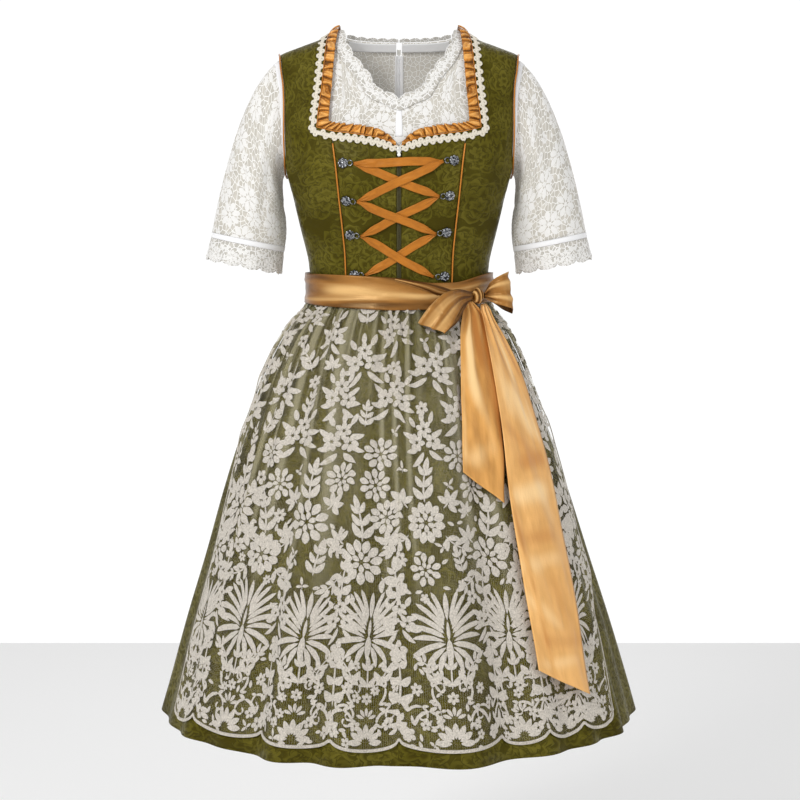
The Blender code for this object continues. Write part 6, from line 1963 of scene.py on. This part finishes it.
def sleeve_points(columns, rows):
    """Rows go up from the cuff to the armhole, columns to the right as seen from outside."""
    turn = np.linspace(0, 2 * math.pi, columns, endpoint=False)
    level = BLOUSE_ARMPIT * (1 - np.cos(turn)) / 2
    front = on_body(blouse_x(level), level, FRONT, BLOUSE_OUT)
    rear = on_body(blouse_x(level), level, BACK, BLOUSE_OUT)
    start = np.where((turn <= math.pi)[:, None], front, rear) + (2 * SEAM, 0.0, 0.0)
    start[[0, columns // 2], 1] = 0.0
    end = cuff_points(turn, 0.0)
    top = ((1 + np.cos(turn)) / 2)[:, None]
    bend = start + mix(CAP_BOTTOM, CAP_TOP, top)
    fall = end - CUFF_AXIS * mix(CAP_FALL_BOTTOM, CAP_FALL_TOP, top)
    way = np.linspace(1, 0, rows)[:, None, None]
    back = 1 - way
    return start * back**3 + bend * 3 * back**2 * way + fall * 3 * back * way**2 + end * way**3


SLEEVE_COLUMNS, SLEEVE_ROWS = 96, 54
sleeve_grid = sleeve_points(SLEEVE_COLUMNS, SLEEVE_ROWS)
sleeve = Cloth(sleeve_grid, tube=True)
if np.dot(sleeve.normal[10, SLEEVE_COLUMNS // 4], (0.0, -1.0, 0.0)) < 0:
    sleeve_grid = np.roll(sleeve_grid[:, ::-1], 1, axis=1)
    sleeve = Cloth(sleeve_grid, tube=True)
SLEEVE_CREASES = (  # place round and up, heading, half the length, width, height
    (0.22, 0.80, 70, 0.050, 0.0090, -0.0020), (0.28, 0.55, 84, 0.070, 0.0100, 0.0022),
    (0.33, 0.30, 96, 0.060, 0.0100, -0.0020), (0.16, 0.35, 86, 0.060, 0.0110, 0.0018),
    (0.42, 0.62, 60, 0.045, 0.0090, 0.0020), (0.46, 0.40, 55, 0.040, 0.0080, -0.0018),
    (0.60, 0.60, 118, 0.045, 0.0090, 0.0020), (0.70, 0.40, 96, 0.060, 0.0100, -0.0018),
    (0.76, 0.60, 90, 0.070, 0.0110, 0.0022), (0.84, 0.35, 88, 0.060, 0.0100, -0.0020),
    (0.92, 0.75, 100, 0.050, 0.0100, 0.0018), (0.06, 0.70, 92, 0.060, 0.0110, -0.0016),
)  # fmt: skip
held_flat = np.sin(np.linspace(0, math.pi, SLEEVE_ROWS))[:, None] ** 0.5
sleeve = sleeve.raised(crease(sleeve, SLEEVE_CREASES) * held_flat)
SLEEVES = add_pair("sleeve_", sleeve, LACE_NET, "white_lace", wall=0.0005, held="hung")
print("sleeve", round(sleeve.width, 3), round(sleeve.length, 3))

# %% Cuffs: a plain cotton band and a scalloped lace edging
BAND_WIDTH, BAND_RAISE = 0.008, 0.0006
EDGING_WIDTH, EDGING_SCALLOPS, EDGING_SCALLOP, EDGING_FLARE = 0.0335, 12, 0.0045, 0.0022


def cuff_cloth(columns, downs, grow, drop=None):
    turn, share = np.meshgrid(np.linspace(0, 2 * math.pi, columns, endpoint=False), np.linspace(1, 0, downs))
    start, end = grow
    points = cuff_points(turn, drop(turn, share), mix(start, end, share))
    cloth = Cloth(points, tube=True)
    if cloth.normal[1, columns // 4] @ np.array([0.0, -1.0, 0.0]) < 0:
        cloth = Cloth(np.roll(points[:, ::-1], 1, axis=1), tube=True)
    return cloth


def edging_drop(turn, share):
    """The lower edge has round lobes, each with small picots."""
    phase = np.mod(turn * EDGING_SCALLOPS / (2 * math.pi), 1.0)
    lobe = EDGING_SCALLOP * np.sin(math.pi * phase) ** 0.7 + 0.0011 * np.abs(np.sin(3 * math.pi * phase))
    return BAND_WIDTH + SEAM + share * (EDGING_WIDTH - EDGING_SCALLOP - 0.0006 + lobe)


band = cuff_cloth(96, 6, (BAND_RAISE, BAND_RAISE), lambda turn, share: mix(SEAM, BAND_WIDTH, share))
EDGING_COLUMNS, EDGING_ROWS, EDGING_WAVES = 288, 13, 9
edging = cuff_cloth(EDGING_COLUMNS, EDGING_ROWS, (0.0, EDGING_FLARE), edging_drop)
wave = 0.0012 * np.sin(np.linspace(0, 2 * math.pi * EDGING_WAVES, EDGING_COLUMNS, endpoint=False))
edging = edging.raised(wave[None] * np.linspace(1, 0, EDGING_ROWS)[:, None])
add_pair("cuff_band_", band, COTTON, "white_cotton", wall=0.0012)
EDGINGS = add_pair("cuff_lace_", edging, EDGING_NET, "white_lace", wall=0.0005)

# %% Lace along the neck
NECK_LACE_WIDTH, NECK_LACE_PROUD, NECK_SCALLOP, NECK_PITCH = 0.015, 0.0025, 0.0035, 0.024
BACK_LACE_WIDTH, NECK_BAND_WIDTH = 0.0065, 0.0125


def ridge(x):
    """The height of the shoulder line over this width."""
    return shoulder_run(x, FRONT)[1][..., -1]


def neck_lace_points(columns, rows):
    right = np.array([*BLOUSE_FRONT_NECK[:-1], (0.0850, -0.0035)])
    line = np.concatenate([right[:0:-1] * (-1, 1), right])
    way = np.concatenate([[0], np.cumsum(np.hypot(*np.diff(line, axis=0).T))])
    at = np.linspace(0, way[-1], columns)
    place = np.stack([np.interp(at, way, line[:, 0]), np.interp(at, way, line[:, 1])], axis=1)
    padded = [np.pad(place[:, i], 9, mode="edge") for i in (0, 1)]
    soft = np.stack([np.convolve(row, np.ones(19) / 19, "valid") for row in padded], axis=1)
    run = np.gradient(soft, axis=0)
    run /= np.linalg.norm(run, axis=1, keepdims=True)
    aside = np.stack([run[:, 1], -run[:, 0]], axis=1)
    distance = np.abs(at - way[-1] / 2)
    steps = round(way[-1] / 2 / NECK_PITCH)
    phase = np.mod(distance / (way[-1] / 2) * steps, 1.0)
    lobe = NECK_SCALLOP * np.sin(math.pi * phase) ** 0.7 + 0.0009 * np.abs(np.sin(3 * math.pi * phase))
    share = np.linspace(1, 0, rows)[:, None]
    shift = mix(-lobe[None], NECK_LACE_WIDTH, share)
    x = place[None, :, 0] + aside[None, :, 0] * shift
    z = place[None, :, 1] + aside[None, :, 1] * shift
    x = np.where(z > -0.02, np.clip(x, -0.096, 0.096), x)
    z = np.minimum(z, ridge(x) - 0.0010)
    return on_body(x, level_at(x, z, FRONT), FRONT, BLOUSE_OUT + NECK_LACE_PROUD)


galloon = Cloth(neck_lace_points(260, 12))
add_sheet("neck_lace_front", galloon, EDGING_NET, "white_lace", wall=0.0006)
share, up = grid_of(120, 8)
x = mix(0.0800, 0.0008, share)
edge = read_blouse_back(x)[0]
lobe = 0.0025 * np.sin(math.pi * np.mod((1 - share) * 5, 1.0)) ** 0.7
z = mix(edge + 3 * SEAM, np.minimum(edge + BACK_LACE_WIDTH - 0.0020 + lobe, -0.0008), up)
standing = Cloth(on_body(x, level_at(x, z, BACK), BACK, BLOUSE_OUT))
x = mix(0.0790, BLOUSE_ZIP_EDGE, share)
z = read_blouse_back(x)[0] - NECK_BAND_WIDTH * (1 - up)
facing = Cloth(on_body(x, level_at(x, z, BACK), BACK, BLOUSE_OUT - 0.0036))
for name in ("right", "left"):
    lace, cotton = (standing, facing) if name == "right" else (flipped(standing), flipped(facing))
    add_sheet("neck_lace_back_" + name, lace, EDGING_NET, "white_lace", wall=0.0006)
    add_sheet("neck_band_back_" + name, cotton, COTTON, "white_cotton", wall=0.0010)

heights = np.linspace(BLOUSE_HEM, -0.0335, 110)
x, z = np.meshgrid(np.linspace(0.0065, -0.0065, 15), heights)
out = mix(
    BLOUSE_OUT, BLOUSE_OUT - 0.0018, eased(np.abs(x), BLOUSE_ZIP_EDGE - 0.0013, BLOUSE_ZIP_EDGE - 0.0002)
)
tape = Cloth(on_body(x, level_at(x, z, BACK), BACK, out))
z = np.arange(BLOUSE_HEM + 0.003, -0.0375, ZIP_PITCH)
teeth = on_body(0 * z, level_at(0 * z, z, BACK), BACK, BLOUSE_OUT - 0.0016)
add_zip("blouse_zip", tape, teeth, "white_cotton", ["blouse_zip"], COTTON, COTTON)

# %% Lace flowers: broad petals round a ring of small ones, with leaves between
def lace_flower(radius):
    petals = 7 if radius > 0.014 else 6
    rows = whorl(petals, radius * 0.20, radius, radius * 3.2 / petals, 0)
    rows += around(radius * 0.62, petals, 180 / petals, 360, radius * 0.34, radius * 0.12)
    return rows + around(0.0, petals, 0, 360, radius * 0.20, radius * 0.13)


def lace_leaves(radius):
    rows = [Leaf(0, -radius, 90, radius * 1.9, radius * 0.10, 20)]
    for i in range(3):
        for t in (-1, 1):
            y = -radius * (0.7 - 0.5 * i)
            rows.append(Leaf(0, y, 90 + t * 52, radius * 0.95, radius * 0.40, -t * 30))
    return rows


def lace_curl(radius):
    return [Leaf(0, 0, turn, radius, radius * 0.13, 150) for turn in (0, 120, 240)]


def lace_bud(radius):
    return [Leaf(0, -radius, 90, radius * 2, radius * 1.1, 20)]


LACE_TABLE = (
    (lace_flower, 0.0195, 0.00, 0.93, 900), (lace_flower, 0.0120, 0.00, 0.95, 900),
    (lace_leaves, 0.0095, 0.00, 0.95, 1600), (lace_curl, 0.0065, 0.00, 0.97, 1600),
    (lace_bud, 0.0040, 0.00, 0.97, 2600),
)  # fmt: skip
for seed, name, cloth, above in (
    (20, "sleeve_right", SLEEVES["right"], 0.0),
    (21, "sleeve_left", SLEEVES["left"], 0.0),
    (22, "blouse_front", front_blouse, 0.55),
):
    flowers, room_left = Stitches(cloth, 0.00030), Layout(cloth)
    table = [(make, radius, max(low, above), high, tries) for make, radius, low, high, tries in LACE_TABLE]
    scatter(flowers, room_left, table, seed, 0.012)
    flowers.sew(name + "_flowers", LACE_THREAD, "white_lace")

# %% Motifs and a cord along the scalloped edges
CORD_RADIUS = 0.0007
for name, cloth in EDGINGS.items():
    motifs = Stitches(cloth, 0.0004)
    for i in range(EDGING_SCALLOPS):
        middle = (i + 0.5) / EDGING_SCALLOPS
        motifs.add(lace_flower(0.0095), middle, 0.42, 90)
        motifs.add(around(0.004, 5, 200, 140, 0.010, 0.0034), middle, 0.30)
        for t in (-1, 1):
            pair = [
                Leaf(0, 0, 90 + 20 * t, 0.014, 0.0052, 50 * t),
                Leaf(0, 0.004, 90 - 60 * t, 0.009, 0.0036, -60 * t)
            ]
            motifs.add(pair, middle + t * 0.45 / EDGING_SCALLOPS, 0.50)
            motifs.add(
                [Leaf(0, 0, 90 - 30 * t, 0.010, 0.0040, 60 * t)], middle + t * 0.38 / EDGING_SCALLOPS, 0.12
            )
    line = cloth.grid[1, :-1] + cloth.normal[1, :-1] * 0.0002
    cord = mesh_of("cuff_lace_cord_" + name, [tube(line, CORD_RADIUS, 6, closed=True)])
    add_piece(cord.name, cord, LACE_THREAD)
    motifs.sew("cuff_lace_flowers_" + name, LACE_THREAD, "white_lace")

motifs = Stitches(galloon, 0.0005)
steps = 2 * round(float(galloon.u[-1]) / 2 / NECK_PITCH)
for i in range(steps):
    middle = (i + 0.5) / steps
    motifs.add(lace_flower(0.0072), middle, 0.50)
    motifs.add([Leaf(0, 0, 90, 0.005, 0.0030, 0)], middle, 0.84)
    for t in (-1, 1):
        pair = [
            Leaf(0, -0.001, 90 + 16 * t, 0.0095, 0.0034, 40 * t),
            Leaf(0, 0.001, 90 - 70 * t, 0.0070, 0.0030, -50 * t)
        ]
        motifs.add(pair, middle + t * 0.46 / steps, 0.40)
motifs.sew("neck_lace_flowers", LACE_THREAD, "white_lace")
edge_row = galloon.grid[-1] if galloon.grid[-1, 130, 2] > galloon.grid[0, 130, 2] else galloon.grid[0]
cord = mesh_of("neck_lace_cord", [tube(edge_row[2:-2] + (0, -0.0004, 0), CORD_RADIUS, 6)])
add_piece(cord.name, cord, LACE_THREAD)

# %% Plain cotton bindings: over each armhole seam and down the blouse's middle
for name, cloth in SLEEVES.items():
    front_first = cloth.at(0.25, 0.9)[1] < 0
    share, up = grid_of(100, 5, 0.03, 0.47) if front_first else grid_of(100, 5, 0.53, 0.97)
    low = 1 - 0.0120 / cloth.v[-1]
    rise = 0.0009 + 0.0003 * np.sin(math.pi * up)
    strip = Cloth(cloth.at(share, mix(low, 0.998, up), rise))
    add_sheet("armhole_binding_" + name, strip, COTTON, "white_cotton", (), wall=0.0005, held="hung")
share, up = grid_of(7, 16)
strip = Cloth(front_blouse.at(0.5 + (share - 0.5) * 0.0056 / front_blouse.u[-1], mix(0.72, 0.97, up), 0.0009))
add_sheet("blouse_placket", strip, COTTON, "white_cotton", (), wall=0.0005)
